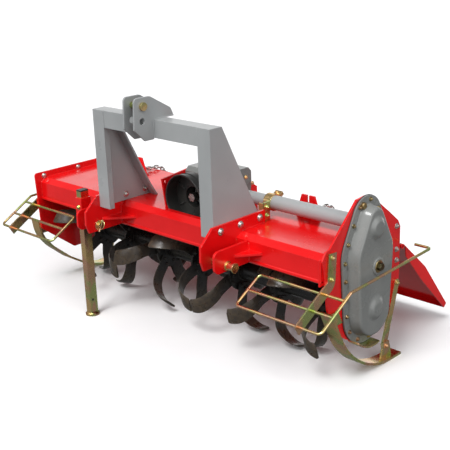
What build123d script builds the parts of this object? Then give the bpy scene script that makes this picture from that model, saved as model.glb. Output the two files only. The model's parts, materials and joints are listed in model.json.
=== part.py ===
from build123d import *
from collections import namedtuple
from math import atan2, cos, degrees, hypot, radians, sin
import os

# Rotary tiller for a tractor's three-point linkage, with a shaft-driven gearbox and a side gear case.
# Frame: the origin is the centre of the input shaft's end face, +X points to the gear case side,
# +Y to the rear (the tractor stands on the -Y side) and +Z up.  Lengths are in millimetres.

os.makedirs("parts", exist_ok=True)

# ---- hood and side plates -------------------------------------------------------------------
HOOD_LENGTH = 1671.0        # over the outer faces of the side plates
HOOD_SHIFT = -87.5          # hood centre from the mast centre
HOOD_SHEET = 5.0
HOOD_TOP_Z = -50.0
HOOD_FRONT_Y = -100.0
HOOD_FRONT_DEPTH = 102.0    # from the top down to the front lip
HOOD_CHAMFER_Y = 28.0
HOOD_CHAMFER_Z = 18.0
HOOD_FRONT_LIP = 26.0
HOOD_WIDTH = 476.0          # front face to rear face
HOOD_REAR_SLOPE_Y = 34.0
HOOD_REAR_SLOPE_Z = 28.0
HOOD_REAR_DEPTH = 112.0
SIDE_PLATE_THICK = 8.0
SIDE_PLATE_RISE = 27.0      # left plate above the hood top
SIDE_PLATE_CORNER = 14.0
SIDE_PLATE_REAR = 247.0     # from the hood top down to the rear edge's lower corner

# ---- rotor ----------------------------------------------------------------------------------
ROTOR_Y = 150.0
ROTOR_Z = -325.0
ROTOR_TUBE_R = 38.0
ROTOR_END_GAP = 8.0
FLANGE_R = 86.0
FLANGE_THICK = 9.0
FLANGE_INSET = 169.5        # end flanges, from the side plates' outer faces
BLADE_SWING_R = 237.0
BLADE_THICK = 8.0
BLADE_SHANK_WIDTH = 58.0
BLADE_REACH = 92.0          # along the shaft, from the flange to the tip
BLADE_BEND_R = 80.0
BLADE_LEAD = 20.0           # leading edge at the bend, behind the shank's middle
BLADE_SWEEP = 87.0          # trailing edge at the tip, behind the shank's middle
BLADE_TIP = 30.0            # width of the tip's end
BLADE_FOOT_R = 52.0         # the shank's inner end
STUB_SHAFT_R = 25.0
STUB_REACH = 24.0           # left stub beyond the side plate
BEARING_R = 72.0
BEARING_FLANGE = 12.0
BEARING_CAP_R = 46.0
BEARING_CAP = 26.0
BEARING_SEAT = 30.0         # depth of the stub's seat
RUNNING_GAP = 0.1
MOVING_GAP = 6.0
SEAT_GAP = 0.3

# ---- gear case and drive --------------------------------------------------------------------
CASE_FLANGE_THICK = 8.0
CASE_COVER_DEPTH = 50.0
CASE_RIM = 31.0             # flange width around the raised cover
CASE_TOP_R = 85.0
CASE_MID_R = 147.0
CASE_LOW_R = 133.0
CASE_TOP_Z = 28.0
CASE_MID_Z = -108.0
CASE_DRAFT = 14.0
CASE_ROUND = 9.0            # rounding of the cover's outer edge
OIL_PLUG_R = 15.0
OIL_PLUG_LENGTH = 13.0
DRIVE_Y = 150.0
DRIVE_Z = 3.0
AXLE_TUBE_R = 29.0
AXLE_NECK_R = 25.0
AXLE_TUBE_WALL = 5.0
AXLE_STEP_X = 279.0
GEARBOX_WIDTH = 220.0
GEARBOX_FRONT_Y = 75.0
GEARBOX_LENGTH = 165.0
GEARBOX_TOP_Z = 98.0
GEARBOX_CHAMFER = 18.0
GEARBOX_FLANGE_RISE = 26.0  # flange centre above the axle
GEARBOX_SPIGOT_R = 40.0     # in the right support
GEARBOX_FLANGE_R = 60.0
GEARBOX_FLANGE_THICK = 18.0
SUPPORT_THICK = 8.0
PTO_SPLINE_R = 17.5
PTO_ROOT_R = 14.8
PTO_SPLINE_WIDTH = 8.5
PTO_SPLINE_LENGTH = 46.0
PTO_COLLAR_R = 21.0
PTO_BOSS_R = 38.0
PTO_BOSS_LENGTH = 18.0
GUARD_CUP_R = 104.0
GUARD_CUP_WALL = 4.0
GUARD_CUP_DRAFT = 2.0       # narrower at the back
GUARD_CUP_FRONT_Y = -44.0
GUARD_CUP_DEPTH = 60.0
GUARD_NECK_R = 48.0

# ---- mast and linkage points ----------------------------------------------------------------
MAST_WIDTH = 664.0          # over the posts
MAST_FRONT_Y = -210.0
MAST_TOP_Z = 361.0
MAST_PLATE = 8.0
POST_FACE = 65.0
POST_LIP = 25.0
POST_REAR_FLANGE = 55.0
CROSS_TUBE_HEIGHT = 70.0
CROSS_TUBE_DEPTH = 60.0
CROSS_TUBE_WALL = 6.0
TUBE_SETBACK = 2.0          # behind the posts' front faces
EAR_GAP = 50.0
EAR_THICK = 8.0
EAR_ROUND = 16.0
TOP_PIN_R = 12.5
TOP_PIN_Y = -257.0
TOP_PIN_Z = 418.0
TOP_PIN_DROP = 56.0         # spare hole below the top one
TOP_PIN_REACH = 16.0        # beyond the left ear
TOP_PIN_HEAD_R = 16.0
TOP_PIN_HEAD = 9.0
HITCH_PLATE = 10.0
HITCH_GAP = 53.0            # room for the tractor's lower link
HITCH_LOW_Z = -151.0
CLEVIS_HEIGHT = 86.0
CLEVIS_CORNER = 24.0
CLEVIS_REACH = 60.0         # in front of the lower pin
HITCH_RISE = 50.0           # above the hood
LOWER_PIN_R = 14.0
LOWER_PIN_Y = -223.0
LOWER_PIN_Z = -128.0
LOWER_PIN_STUB = 45.0       # outboard of the outer plate
LOWER_PIN_INNER = 14.0
LOWER_PIN_COLLAR_R = 18.5
LOWER_PIN_COLLAR = 8.0
LOWER_PIN_END = 5.0         # collar at the stub's end
GUSSET_THICK = 8.0
GUSSET_Z = -106.0

# ---- skids, guards, stand and tailboard -----------------------------------------------------
GROUND_Z = -582.0
SKID_WIDTH = 55.0
SKID_THICK = 10.0
STRUT_WIDTH = 30.0
STRUT_THICK = 8.0
GUARD_ROD_R = 5.5
GUARD_WIDTH = 390.0
GUARD_REACH = 95.0          # outboard of the side plate
GUARD_BAR_WIDTH = 44.0
GUARD_BAR_THICK = 6.0
GUARD_SLOPE = 30.0          # degrees, the front frame below level
GUARD_ROD_PITCH = 78.0
GUARD_SIDE_LENGTH = 505.0
GUARD_TIP = 70.0
GUARD_TIP_RISE = 20.0
GUARD_ROD_BEND = 16.0
GUARD_BAR_BEND = 30.0
STAND_GAP = 2.4             # from the sleeve to the left lower pin's end
STAND_Y = -192.0
STAND_WIDTH = 30.0
STAND_DEPTH = 40.0
STAND_WALL = 3.0
STAND_TOP_Z = -10.0
STAND_FIT = 0.6
STAND_FOOT = 62.0
STAND_FOOT_THICK = 8.0
STAND_CAP = 6.0
SLEEVE_WALL = 5.0
SLEEVE_TOP_Z = -38.0
SLEEVE_HEIGHT = 108.0
TAIL_SHEET = 4.0
TAIL_HINGE_OUT = 22.0       # hinge axis behind the hood's rear face
TAIL_HINGE_R = 6.0
TAIL_EYE_R = 10.0
TAIL_UPPER = 214.0
TAIL_LOWER = 282.0
TAIL_UPPER_SLOPE = 41.0     # degrees below level
TAIL_LOWER_SLOPE = 51.0
TAIL_CHEEK = 53.0
TAIL_LIP = 23.0
CHEEK_SETBACK = 16.0        # along the upper panel
CHAIN_LUG_WIDTH = 124.0
CHAIN_LUG_HEIGHT = 84.0
CHAIN_LUG_Y = 232.0
CHAIN_LUG_X = 422.0
CHAIN_LUG_THICK = 8.0
CHAIN_SLOT = 11.0
CHAIN_HOLE_R = 8.8
SHOE_THICK = 6.0
SHOE_WIDTH = 48.0
SHOE_GAP = 1.0              # between the shoe and the flange's edge

# ---- worked out from the sizes above --------------------------------------------------------
LEFT_FACE = HOOD_SHIFT - HOOD_LENGTH / 2
RIGHT_FACE = HOOD_SHIFT + HOOD_LENGTH / 2
HOOD_LEFT = LEFT_FACE + SIDE_PLATE_THICK
HOOD_RIGHT = RIGHT_FACE - SIDE_PLATE_THICK
HOOD_REAR_Y = HOOD_FRONT_Y + HOOD_WIDTH
HOOD_FRONT_Z = HOOD_TOP_Z - HOOD_FRONT_DEPTH
HOOD_REAR_Z = HOOD_TOP_Z - HOOD_REAR_DEPTH
POST_OUT = MAST_WIDTH / 2
HITCH_IN = POST_OUT
HITCH_OUT = HITCH_IN + HITCH_PLATE
CLEVIS_IN = HITCH_OUT + HITCH_GAP
CLEVIS_OUT = CLEVIS_IN + HITCH_PLATE
CASE_FACE = RIGHT_FACE + CASE_FLANGE_THICK
GUARD_CHORD = (GUARD_CUP_R ** 2 - HOOD_TOP_Z ** 2) ** 0.5     # half width of the cup at the hood top
HINGE_Y = HOOD_REAR_Y + TAIL_HINGE_OUT
HINGE_Z = HOOD_REAR_Z + TAIL_EYE_R

Flank = namedtuple("Flank", "name sign face")      # sign of X, X of the side plate's outer face
SIDES = [Flank("left", -1, LEFT_FACE), Flank("right", 1, RIGHT_FACE)]


def save(builder, label):
    """Label a finished piece and write its file."""
    builder.part.label = label
    export_step(builder.part, f"parts/{label}.step")


def slab(sign, inner, thick):
    """YZ plane from which a plate grows away from the centre, for one side."""
    return Plane.YZ.offset(sign * inner), sign * thick


# ---- hood: one bent sheet with a return lip, cut out on top for the input shaft's guard ---------
hood_line = [
    (HOOD_FRONT_Y + HOOD_FRONT_LIP, HOOD_FRONT_Z),
    (HOOD_FRONT_Y, HOOD_FRONT_Z),
    (HOOD_FRONT_Y, HOOD_TOP_Z - HOOD_CHAMFER_Z),
    (HOOD_FRONT_Y + HOOD_CHAMFER_Y, HOOD_TOP_Z),
    (HOOD_REAR_Y - HOOD_REAR_SLOPE_Y, HOOD_TOP_Z),
    (HOOD_REAR_Y, HOOD_TOP_Z - HOOD_REAR_SLOPE_Z),
    (HOOD_REAR_Y, HOOD_REAR_Z),
]
with BuildPart() as hood:
    with BuildSketch(Plane.YZ.offset(HOOD_LEFT)):
        with BuildLine():
            Polyline(*hood_line)
            offset(amount=HOOD_SHEET, side=Side.RIGHT)
        make_face()
    extrude(amount=HOOD_RIGHT - HOOD_LEFT)
    with BuildSketch(Plane.XY.offset(HOOD_TOP_Z - 2 * HOOD_SHEET)):
        with Locations((0.0, GUARD_CUP_FRONT_Y + GUARD_CUP_DEPTH / 2)):
            Rectangle(2 * (GUARD_CHORD + MOVING_GAP), GUARD_CUP_DEPTH + 2 * MOVING_GAP)
    extrude(amount=3 * HOOD_SHEET, mode=Mode.SUBTRACT)
save(hood, "hood")

# ---- side plates: the left one is square-topped, the right one rises behind the gear case -----
PLATE_REAR_LOW_Z = HOOD_TOP_Z - SIDE_PLATE_REAR
PLATE_BOTTOM_Z = ROTOR_Z - CASE_LOW_R + 1.0
left_plate_outline = [
    (HOOD_FRONT_Y - 30.0, HOOD_TOP_Z + SIDE_PLATE_RISE),
    (HOOD_REAR_Y - 60.0, HOOD_TOP_Z + SIDE_PLATE_RISE),
    (HOOD_REAR_Y, HOOD_TOP_Z - HOOD_REAR_SLOPE_Z),
    (HOOD_REAR_Y, PLATE_REAR_LOW_Z),
    (ROTOR_Y + 80.0, ROTOR_Z - 105.0),
    (ROTOR_Y - 95.0, ROTOR_Z - 105.0),
    (HOOD_FRONT_Y - 20.0, ROTOR_Z + 32.0),
]
with BuildPart() as side_plate_left:
    with BuildSketch(Plane.YZ.offset(LEFT_FACE)) as left_plate:
        with BuildLine():
            Polyline(*left_plate_outline, close=True)
        make_face()
        fillet(left_plate.vertices(), radius=SIDE_PLATE_CORNER)
        with Locations((ROTOR_Y, ROTOR_Z)):
            Circle(STUB_SHAFT_R + MOVING_GAP, mode=Mode.SUBTRACT)
    extrude(amount=SIDE_PLATE_THICK)
save(side_plate_left, "side_plate_left")

with BuildPart() as side_plate_right:
    with BuildSketch(Plane.YZ.offset(HOOD_RIGHT)) as right_plate:
        with BuildLine():
            front_edge = ThreePointArc(
                (HOOD_FRONT_Y + 26.0, ROTOR_Z + 107.0),
                (ROTOR_Y - 191.0, ROTOR_Z - 8.0),
                (ROTOR_Y - 99.0, ROTOR_Z - 95.0),
            )
            Polyline(
                front_edge @ 1,
                (ROTOR_Y - 40.0, PLATE_BOTTOM_Z),
                (ROTOR_Y + 70.0, PLATE_BOTTOM_Z + 12.0),
                (HOOD_REAR_Y, PLATE_REAR_LOW_Z),
                (HOOD_REAR_Y, HOOD_TOP_Z - 13.0),
                (HOOD_REAR_Y - 15.0, HOOD_TOP_Z + 14.0),
                (DRIVE_Y + 153.0, CASE_TOP_Z - 17.0),
                (DRIVE_Y + 66.0, CASE_TOP_Z + 50.0),
                (DRIVE_Y, CASE_TOP_Z + CASE_TOP_R - 2.0),
                (DRIVE_Y - 55.0, CASE_TOP_Z + CASE_TOP_R - 6.0),
                (DRIVE_Y - 208.0, HOOD_TOP_Z + 14.0),
                (HOOD_FRONT_Y + 20.0, HOOD_TOP_Z + 9.0),
                (HOOD_FRONT_Y, HOOD_TOP_Z - 20.0),
                front_edge @ 0,
            )
        make_face()
        with Locations((ROTOR_Y, ROTOR_Z)):
            Circle(STUB_SHAFT_R + MOVING_GAP, mode=Mode.SUBTRACT)
    extrude(amount=SIDE_PLATE_THICK)
save(side_plate_right, "side_plate_right")

# ---- mast: two folded posts and a box tube across their tops ---------------------------------
POST_REAR_TOP_Y = MAST_FRONT_Y + CROSS_TUBE_DEPTH + TUBE_SETBACK
POST_REAR_LOW = (62.0, HOOD_TOP_Z)
POST_REAR_MID = (28.0, HOOD_TOP_Z + 56.0)
for side in SIDES:
    web_plane, web_step = slab(side.sign, POST_OUT - MAST_PLATE, MAST_PLATE)
    face_in = POST_OUT - POST_FACE
    with BuildPart() as mast_post:
        with BuildSketch(web_plane):
            with BuildLine():
                Polyline(
                    (MAST_FRONT_Y, HOOD_TOP_Z),
                    (MAST_FRONT_Y, MAST_TOP_Z),
                    (POST_REAR_TOP_Y, MAST_TOP_Z),
                    POST_REAR_MID,
                    POST_REAR_LOW,
                    close=True,
                )
            make_face()
        extrude(amount=web_step)
        post_plane, post_step = slab(side.sign, face_in, POST_FACE)
        with BuildSketch(post_plane):
            with BuildLine():
                Polyline(
                    (MAST_FRONT_Y, HOOD_TOP_Z),
                    (MAST_FRONT_Y, MAST_TOP_Z),
                    (POST_REAR_TOP_Y, MAST_TOP_Z),
                )
                offset(amount=MAST_PLATE, side=Side.RIGHT)
            make_face()
        extrude(amount=post_step)
        with BuildSketch(post_plane):
            with Locations((MAST_FRONT_Y + POST_LIP / 2, (MAST_TOP_Z + HOOD_TOP_Z) / 2)):
                Rectangle(POST_LIP, MAST_TOP_Z - HOOD_TOP_Z)
        extrude(amount=side.sign * MAST_PLATE)
        rear_plane, rear_step = slab(side.sign, POST_OUT - POST_REAR_FLANGE, POST_REAR_FLANGE)
        with BuildSketch(rear_plane):
            with BuildLine():
                Polyline((POST_REAR_TOP_Y, MAST_TOP_Z), POST_REAR_MID, POST_REAR_LOW)
                offset(amount=MAST_PLATE, side=Side.RIGHT)
            make_face()
        extrude(amount=rear_step)
        split(bisect_by=Plane.XY.offset(HOOD_TOP_Z), keep=Keep.TOP)
    save(mast_post, f"mast_post_{side.name}")

TUBE_SPAN = MAST_WIDTH - 2 * POST_FACE
TUBE_Y = MAST_FRONT_Y + TUBE_SETBACK + CROSS_TUBE_DEPTH / 2
TUBE_Z = MAST_TOP_Z - CROSS_TUBE_HEIGHT / 2
with BuildPart() as mast_cross_tube:
    with BuildSketch(Plane.YZ.offset(-TUBE_SPAN / 2)) as cross_tube:
        with Locations((TUBE_Y, TUBE_Z)):
            Rectangle(CROSS_TUBE_DEPTH, CROSS_TUBE_HEIGHT)
        offset(amount=-CROSS_TUBE_WALL, mode=Mode.SUBTRACT)
    extrude(amount=TUBE_SPAN)
save(mast_cross_tube, "mast_cross_tube")

# ---- top link bracket: two ears that wrap the cross tube's front and top ----------------------
TUBE_FRONT = TUBE_Y - CROSS_TUBE_DEPTH / 2
ear_outline = [
    (TOP_PIN_Y - 45.0, TOP_PIN_Z - 84.0),
    (TOP_PIN_Y - 38.0, TOP_PIN_Z + 33.0),
    (TOP_PIN_Y + 38.0, TOP_PIN_Z + 33.0),
    (TUBE_FRONT + 90.0, MAST_TOP_Z + 32.0),
    (TUBE_FRONT + 104.0, MAST_TOP_Z),
    (TUBE_FRONT, MAST_TOP_Z),
    (TUBE_FRONT, MAST_TOP_Z - CROSS_TUBE_HEIGHT - 5.0),
    (TUBE_FRONT - 44.0, MAST_TOP_Z - CROSS_TUBE_HEIGHT - 5.0),
]
with BuildPart() as top_link_ears:
    for sign in (-1, 1):
        ear_plane, ear_step = slab(sign, EAR_GAP / 2, EAR_THICK)
        with BuildSketch(ear_plane) as ear:
            with BuildLine():
                Polyline(*ear_outline, close=True)
            make_face()
            top_corners = ear.vertices().group_by(Axis.Y)[-1]
            rear_corner = ear.vertices().sort_by(Axis.X)[-2:-1]
            fillet(top_corners + rear_corner, radius=EAR_ROUND)
            with Locations((TOP_PIN_Y, TOP_PIN_Z), (TOP_PIN_Y - 5.0, TOP_PIN_Z - TOP_PIN_DROP)):
                Circle(TOP_PIN_R + RUNNING_GAP, mode=Mode.SUBTRACT)
        extrude(amount=ear_step)
save(top_link_ears, "top_link_ears")

EAR_OUT = EAR_GAP / 2 + EAR_THICK
with BuildPart() as top_link_pin:
    with BuildSketch(Plane.YZ.offset(-EAR_OUT - TOP_PIN_REACH)):
        with Locations((TOP_PIN_Y, TOP_PIN_Z)):
            Circle(TOP_PIN_R)
    extrude(amount=2 * EAR_OUT + TOP_PIN_REACH + TOP_PIN_HEAD / 2)
    with BuildSketch(Plane.YZ.offset(EAR_OUT + SEAT_GAP)):
        with Locations((TOP_PIN_Y, TOP_PIN_Z)):
            Circle(TOP_PIN_HEAD_R)
    extrude(amount=TOP_PIN_HEAD)
save(top_link_pin, "top_link_pin")

# ---- lower linkage: an inner plate, an outer plate, gussets and a pin on each side ------------
hitch_outline = [
    (MAST_FRONT_Y - 14.0, HOOD_TOP_Z + HITCH_RISE),
    (POST_REAR_LOW[0], HOOD_TOP_Z + HITCH_RISE),
    (POST_REAR_LOW[0], HOOD_TOP_Z),
    (HOOD_FRONT_Y + HOOD_CHAMFER_Y, HOOD_TOP_Z),
    (HOOD_FRONT_Y, HOOD_TOP_Z - HOOD_CHAMFER_Z),
    (HOOD_FRONT_Y, HITCH_LOW_Z),
    (LOWER_PIN_Y - 52.0, HITCH_LOW_Z),
    (LOWER_PIN_Y - 65.0, HITCH_LOW_Z + 36.0),
    (LOWER_PIN_Y - 63.0, HITCH_LOW_Z + 93.0),
]
clevis_outline = [
    (HOOD_FRONT_Y, HITCH_LOW_Z),
    (LOWER_PIN_Y - CLEVIS_REACH, HITCH_LOW_Z),
    (LOWER_PIN_Y - CLEVIS_REACH, HITCH_LOW_Z + CLEVIS_HEIGHT),
    (HOOD_FRONT_Y, HITCH_LOW_Z + CLEVIS_HEIGHT),
]
GUSSET_IN_REACH = 92.0
GUSSET_OUT_REACH = 65.0
GUSSET_FRONT = 106.0
for side in SIDES:
    hitch_plane, hitch_step = slab(side.sign, HITCH_IN, HITCH_PLATE)
    clevis_plane, clevis_step = slab(side.sign, CLEVIS_IN, HITCH_PLATE)
    with BuildPart() as hitch_plate:
        with BuildSketch(hitch_plane):
            with BuildLine():
                Polyline(*hitch_outline, close=True)
            make_face()
            with Locations((LOWER_PIN_Y, LOWER_PIN_Z)):
                Circle(LOWER_PIN_R + RUNNING_GAP, mode=Mode.SUBTRACT)
        extrude(amount=hitch_step)
        with BuildSketch(Plane.XY.offset(GUSSET_Z - GUSSET_THICK / 2)):
            with BuildLine():
                Polyline(
                    (side.sign * HITCH_IN, HOOD_FRONT_Y - GUSSET_FRONT),
                    (side.sign * HITCH_IN, HOOD_FRONT_Y),
                    (side.sign * (HITCH_IN - GUSSET_IN_REACH), HOOD_FRONT_Y),
                    close=True,
                )
            make_face()
        extrude(amount=GUSSET_THICK)
    save(hitch_plate, f"hitch_plate_{side.name}")
    with BuildPart() as clevis_plate:
        with BuildSketch(clevis_plane) as clevis:
            with BuildLine():
                Polyline(*clevis_outline, close=True)
            make_face()
            fillet(clevis.vertices().group_by(Axis.X)[0], radius=CLEVIS_CORNER)
            with Locations((LOWER_PIN_Y, LOWER_PIN_Z)):
                Circle(LOWER_PIN_R + RUNNING_GAP, mode=Mode.SUBTRACT)
        extrude(amount=clevis_step)
        with BuildSketch(Plane.XY.offset(GUSSET_Z - GUSSET_THICK / 2)):
            with BuildLine():
                Polyline(
                    (side.sign * CLEVIS_OUT, HOOD_FRONT_Y - GUSSET_FRONT + 24.0),
                    (side.sign * CLEVIS_OUT, HOOD_FRONT_Y),
                    (side.sign * (CLEVIS_OUT + GUSSET_OUT_REACH), HOOD_FRONT_Y),
                    close=True,
                )
            make_face()
        extrude(amount=GUSSET_THICK)
    save(clevis_plate, f"clevis_plate_{side.name}")
    with BuildPart() as lower_pin:
        pin_plane, pin_step = slab(side.sign, HITCH_IN - LOWER_PIN_INNER,
                                   LOWER_PIN_INNER + CLEVIS_OUT - HITCH_IN + LOWER_PIN_STUB)
        with BuildSketch(pin_plane):
            with Locations((LOWER_PIN_Y, LOWER_PIN_Z)):
                Circle(LOWER_PIN_R)
        extrude(amount=pin_step)
        for start, thick in ((SEAT_GAP, LOWER_PIN_COLLAR),
                             (LOWER_PIN_STUB - LOWER_PIN_END, LOWER_PIN_END)):
            collar_plane, collar_step = slab(side.sign, CLEVIS_OUT + start, thick)
            with BuildSketch(collar_plane):
                with Locations((LOWER_PIN_Y, LOWER_PIN_Z)):
                    Circle(LOWER_PIN_COLLAR_R)
            extrude(amount=collar_step)
    save(lower_pin, f"lower_pin_{side.name}")

# ---- gearbox, its two supports, the input shaft and its guard ---------------------------------
GEARBOX_LOW_Z = HOOD_TOP_Z + 5.0
GEARBOX_REAR_Y = GEARBOX_FRONT_Y + GEARBOX_LENGTH
FLANGE_Z = DRIVE_Z + GEARBOX_FLANGE_RISE
with BuildPart() as gearbox:
    with BuildSketch(Plane.YZ.offset(-GEARBOX_WIDTH / 2)) as gearbox_side:
        with Locations(((GEARBOX_FRONT_Y + GEARBOX_REAR_Y) / 2, (GEARBOX_TOP_Z + GEARBOX_LOW_Z) / 2)):
            Rectangle(GEARBOX_LENGTH, GEARBOX_TOP_Z - GEARBOX_LOW_Z)
        chamfer(gearbox_side.vertices(), length=GEARBOX_CHAMFER)
    extrude(amount=GEARBOX_WIDTH)
    with BuildSketch(Plane.XZ.offset(-GEARBOX_FRONT_Y)):
        Circle(PTO_BOSS_R)
    extrude(amount=PTO_BOSS_LENGTH)
    with BuildSketch(Plane.YZ.offset(GEARBOX_WIDTH / 2)):
        with Locations((DRIVE_Y, FLANGE_Z)):
            Circle(GEARBOX_SPIGOT_R)
    extrude(amount=SUPPORT_THICK)
    with BuildSketch(Plane.YZ.offset(GEARBOX_WIDTH / 2 + SUPPORT_THICK)):
        with Locations((DRIVE_Y, FLANGE_Z)):
            Circle(GEARBOX_FLANGE_R)
    extrude(amount=GEARBOX_FLANGE_THICK)
save(gearbox, "gearbox")

SUPPORT_RISE = 136.0        # above the hood
SUPPORT_CORNER = 10.0
SUPPORT_HOLE_R = 6.5
SUPPORT_REAR_Y = GEARBOX_REAR_Y + 25.0
support_outline = [
    (HOOD_FRONT_Y + 60.0, HOOD_TOP_Z),
    (HOOD_FRONT_Y + 44.0, HOOD_TOP_Z + 122.0),
    (GEARBOX_FRONT_Y + 14.0, HOOD_TOP_Z + SUPPORT_RISE),
    (GEARBOX_FRONT_Y + 70.0, HOOD_TOP_Z + SUPPORT_RISE),
    (SUPPORT_REAR_Y, HOOD_TOP_Z + 60.0),
    (SUPPORT_REAR_Y, HOOD_TOP_Z),
]
for side in SIDES:
    support_plane, support_step = slab(side.sign, GEARBOX_WIDTH / 2, SUPPORT_THICK)
    with BuildPart() as gearbox_support:
        with BuildSketch(support_plane) as support:
            with BuildLine():
                Polyline(*support_outline, close=True)
            make_face()
            fillet(support.vertices().group_by(Axis.Y)[-1], radius=SUPPORT_CORNER)
            with Locations((HOOD_FRONT_Y + 62.0, HOOD_TOP_Z + 108.0)):
                Circle(SUPPORT_HOLE_R, mode=Mode.SUBTRACT)
            if side.sign > 0:
                with Locations((DRIVE_Y, FLANGE_Z)):
                    Circle(GEARBOX_SPIGOT_R + SEAT_GAP, mode=Mode.SUBTRACT)
        extrude(amount=support_step)
    save(gearbox_support, f"gearbox_support_{side.name}")

BOSS_FACE_Y = GEARBOX_FRONT_Y - PTO_BOSS_LENGTH
with BuildPart() as pto_shaft:
    with BuildSketch(Plane.XZ):
        Circle(PTO_ROOT_R)
        with PolarLocations((PTO_ROOT_R + PTO_SPLINE_R) / 2 - 1.0, 6):
            Rectangle(PTO_SPLINE_R - PTO_ROOT_R + 2.0, PTO_SPLINE_WIDTH)
    extrude(amount=-PTO_SPLINE_LENGTH)
    with BuildSketch(Plane.XZ.offset(-PTO_SPLINE_LENGTH)):
        Circle(PTO_COLLAR_R)
    extrude(amount=-(BOSS_FACE_Y - SEAT_GAP - PTO_SPLINE_LENGTH))
save(pto_shaft, "pto_shaft")

CUP_REAR_Y = GUARD_CUP_FRONT_Y + GUARD_CUP_DEPTH
with BuildPart() as pto_guard:
    with BuildSketch(Plane.YZ):
        with BuildLine():
            Polyline(
                (GUARD_CUP_FRONT_Y, GUARD_CUP_R),
                (CUP_REAR_Y, GUARD_CUP_R - GUARD_CUP_DRAFT),
                (CUP_REAR_Y, GUARD_NECK_R),
                (GEARBOX_FRONT_Y, GUARD_NECK_R),
                (GEARBOX_FRONT_Y, PTO_BOSS_R + SEAT_GAP),
                (GEARBOX_FRONT_Y - GUARD_CUP_WALL, PTO_BOSS_R + SEAT_GAP),
                (GEARBOX_FRONT_Y - GUARD_CUP_WALL, GUARD_NECK_R - GUARD_CUP_WALL),
                (CUP_REAR_Y - GUARD_CUP_WALL, GUARD_NECK_R - GUARD_CUP_WALL),
                (CUP_REAR_Y - GUARD_CUP_WALL, GUARD_CUP_R - GUARD_CUP_WALL - GUARD_CUP_DRAFT),
                (GUARD_CUP_FRONT_Y, GUARD_CUP_R - GUARD_CUP_WALL),
                close=True,
            )
        make_face()
    revolve(axis=Axis.Y)
save(pto_guard, "pto_guard")

# ---- axle tube, its clamp and the side gear case ----------------------------------------------
NECK_START = GEARBOX_WIDTH / 2 + SUPPORT_THICK + GEARBOX_FLANGE_THICK
with BuildPart() as axle_tube:
    for start, end, radius in ((NECK_START, AXLE_STEP_X, AXLE_NECK_R),
                               (AXLE_STEP_X, HOOD_RIGHT, AXLE_TUBE_R)):
        with BuildSketch(Plane.YZ.offset(start)):
            with Locations((DRIVE_Y, DRIVE_Z)):
                Circle(radius)
        extrude(amount=end - start)
    with BuildSketch(Plane.YZ.offset(NECK_START)):
        with Locations((DRIVE_Y, DRIVE_Z)):
            Circle(AXLE_NECK_R - AXLE_TUBE_WALL)
    extrude(amount=HOOD_RIGHT - NECK_START, mode=Mode.SUBTRACT)
save(axle_tube, "axle_tube")

CLAMP_X = AXLE_STEP_X + 4.0
CLAMP_WIDTH = 34.0
CLAMP_THICK = 5.0
CLAMP_R = AXLE_TUBE_R + RUNNING_GAP
CLAMP_EAR = 28.0
CLAMP_EAR_WIDTH = 16.0
CLAMP_EAR_TURNS = (210.0, 30.0)         # degrees from +Y towards +Z: low in front, high behind
ear_turn = radians(CLAMP_EAR_TURNS[1])
EAR_FRONT_Y = DRIVE_Y - (CLAMP_R + CLAMP_EAR) * cos(ear_turn) - CLAMP_EAR_WIDTH / 2 * sin(ear_turn)
BRACKET_HEIGHT = 76.0
BRACKET_TAB = 60.0          # height of the tab that the clamp's front ear is bolted to
with BuildPart() as tube_clamp:
    with BuildSketch(Plane.YZ.offset(CLAMP_X)):
        with Locations((DRIVE_Y, DRIVE_Z)):
            Circle(CLAMP_R + CLAMP_THICK)
        for turn in CLAMP_EAR_TURNS:
            with Locations(Location((DRIVE_Y, DRIVE_Z), turn)):
                with Locations((CLAMP_R + CLAMP_EAR / 2, 0.0)):
                    Rectangle(CLAMP_EAR, CLAMP_EAR_WIDTH)
        with Locations((DRIVE_Y, DRIVE_Z)):
            Circle(CLAMP_R, mode=Mode.SUBTRACT)
    extrude(amount=CLAMP_WIDTH)
save(tube_clamp, "tube_clamp")

with BuildPart() as clamp_bracket:
    with BuildSketch(Plane.YZ.offset(HITCH_IN)):
        with BuildLine():
            Polyline(
                (POST_REAR_LOW[0] + SEAT_GAP, HOOD_TOP_Z),
                (POST_REAR_LOW[0] + SEAT_GAP, HOOD_TOP_Z + BRACKET_HEIGHT),
                (EAR_FRONT_Y - SEAT_GAP, HOOD_TOP_Z + BRACKET_HEIGHT),
                (EAR_FRONT_Y - SEAT_GAP, HOOD_TOP_Z),
                close=True,
            )
        make_face()
    extrude(amount=CLAMP_THICK)
    with BuildSketch(Plane.XZ.offset(SEAT_GAP - EAR_FRONT_Y)):
        with Locations(((CLAMP_X + HITCH_IN) / 2, HOOD_TOP_Z + BRACKET_TAB / 2)):
            Rectangle(HITCH_IN - CLAMP_X, BRACKET_TAB)
    extrude(amount=CLAMP_THICK)
save(clamp_bracket, "clamp_bracket")

case_circles = [
    (DRIVE_Y, CASE_TOP_Z, CASE_TOP_R),
    (DRIVE_Y, CASE_MID_Z, CASE_MID_R),
    (ROTOR_Y, ROTOR_Z, CASE_LOW_R),
]
with BuildPart() as gear_case_flange:
    with BuildSketch(Plane.YZ.offset(RIGHT_FACE)):
        for y, z, radius in case_circles:
            with Locations((y, z)):
                Circle(radius)
        make_hull()
        with Locations((ROTOR_Y, ROTOR_Z)):
            Circle(STUB_SHAFT_R + RUNNING_GAP, mode=Mode.SUBTRACT)
    extrude(amount=CASE_FLANGE_THICK)
save(gear_case_flange, "gear_case_flange")

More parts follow.
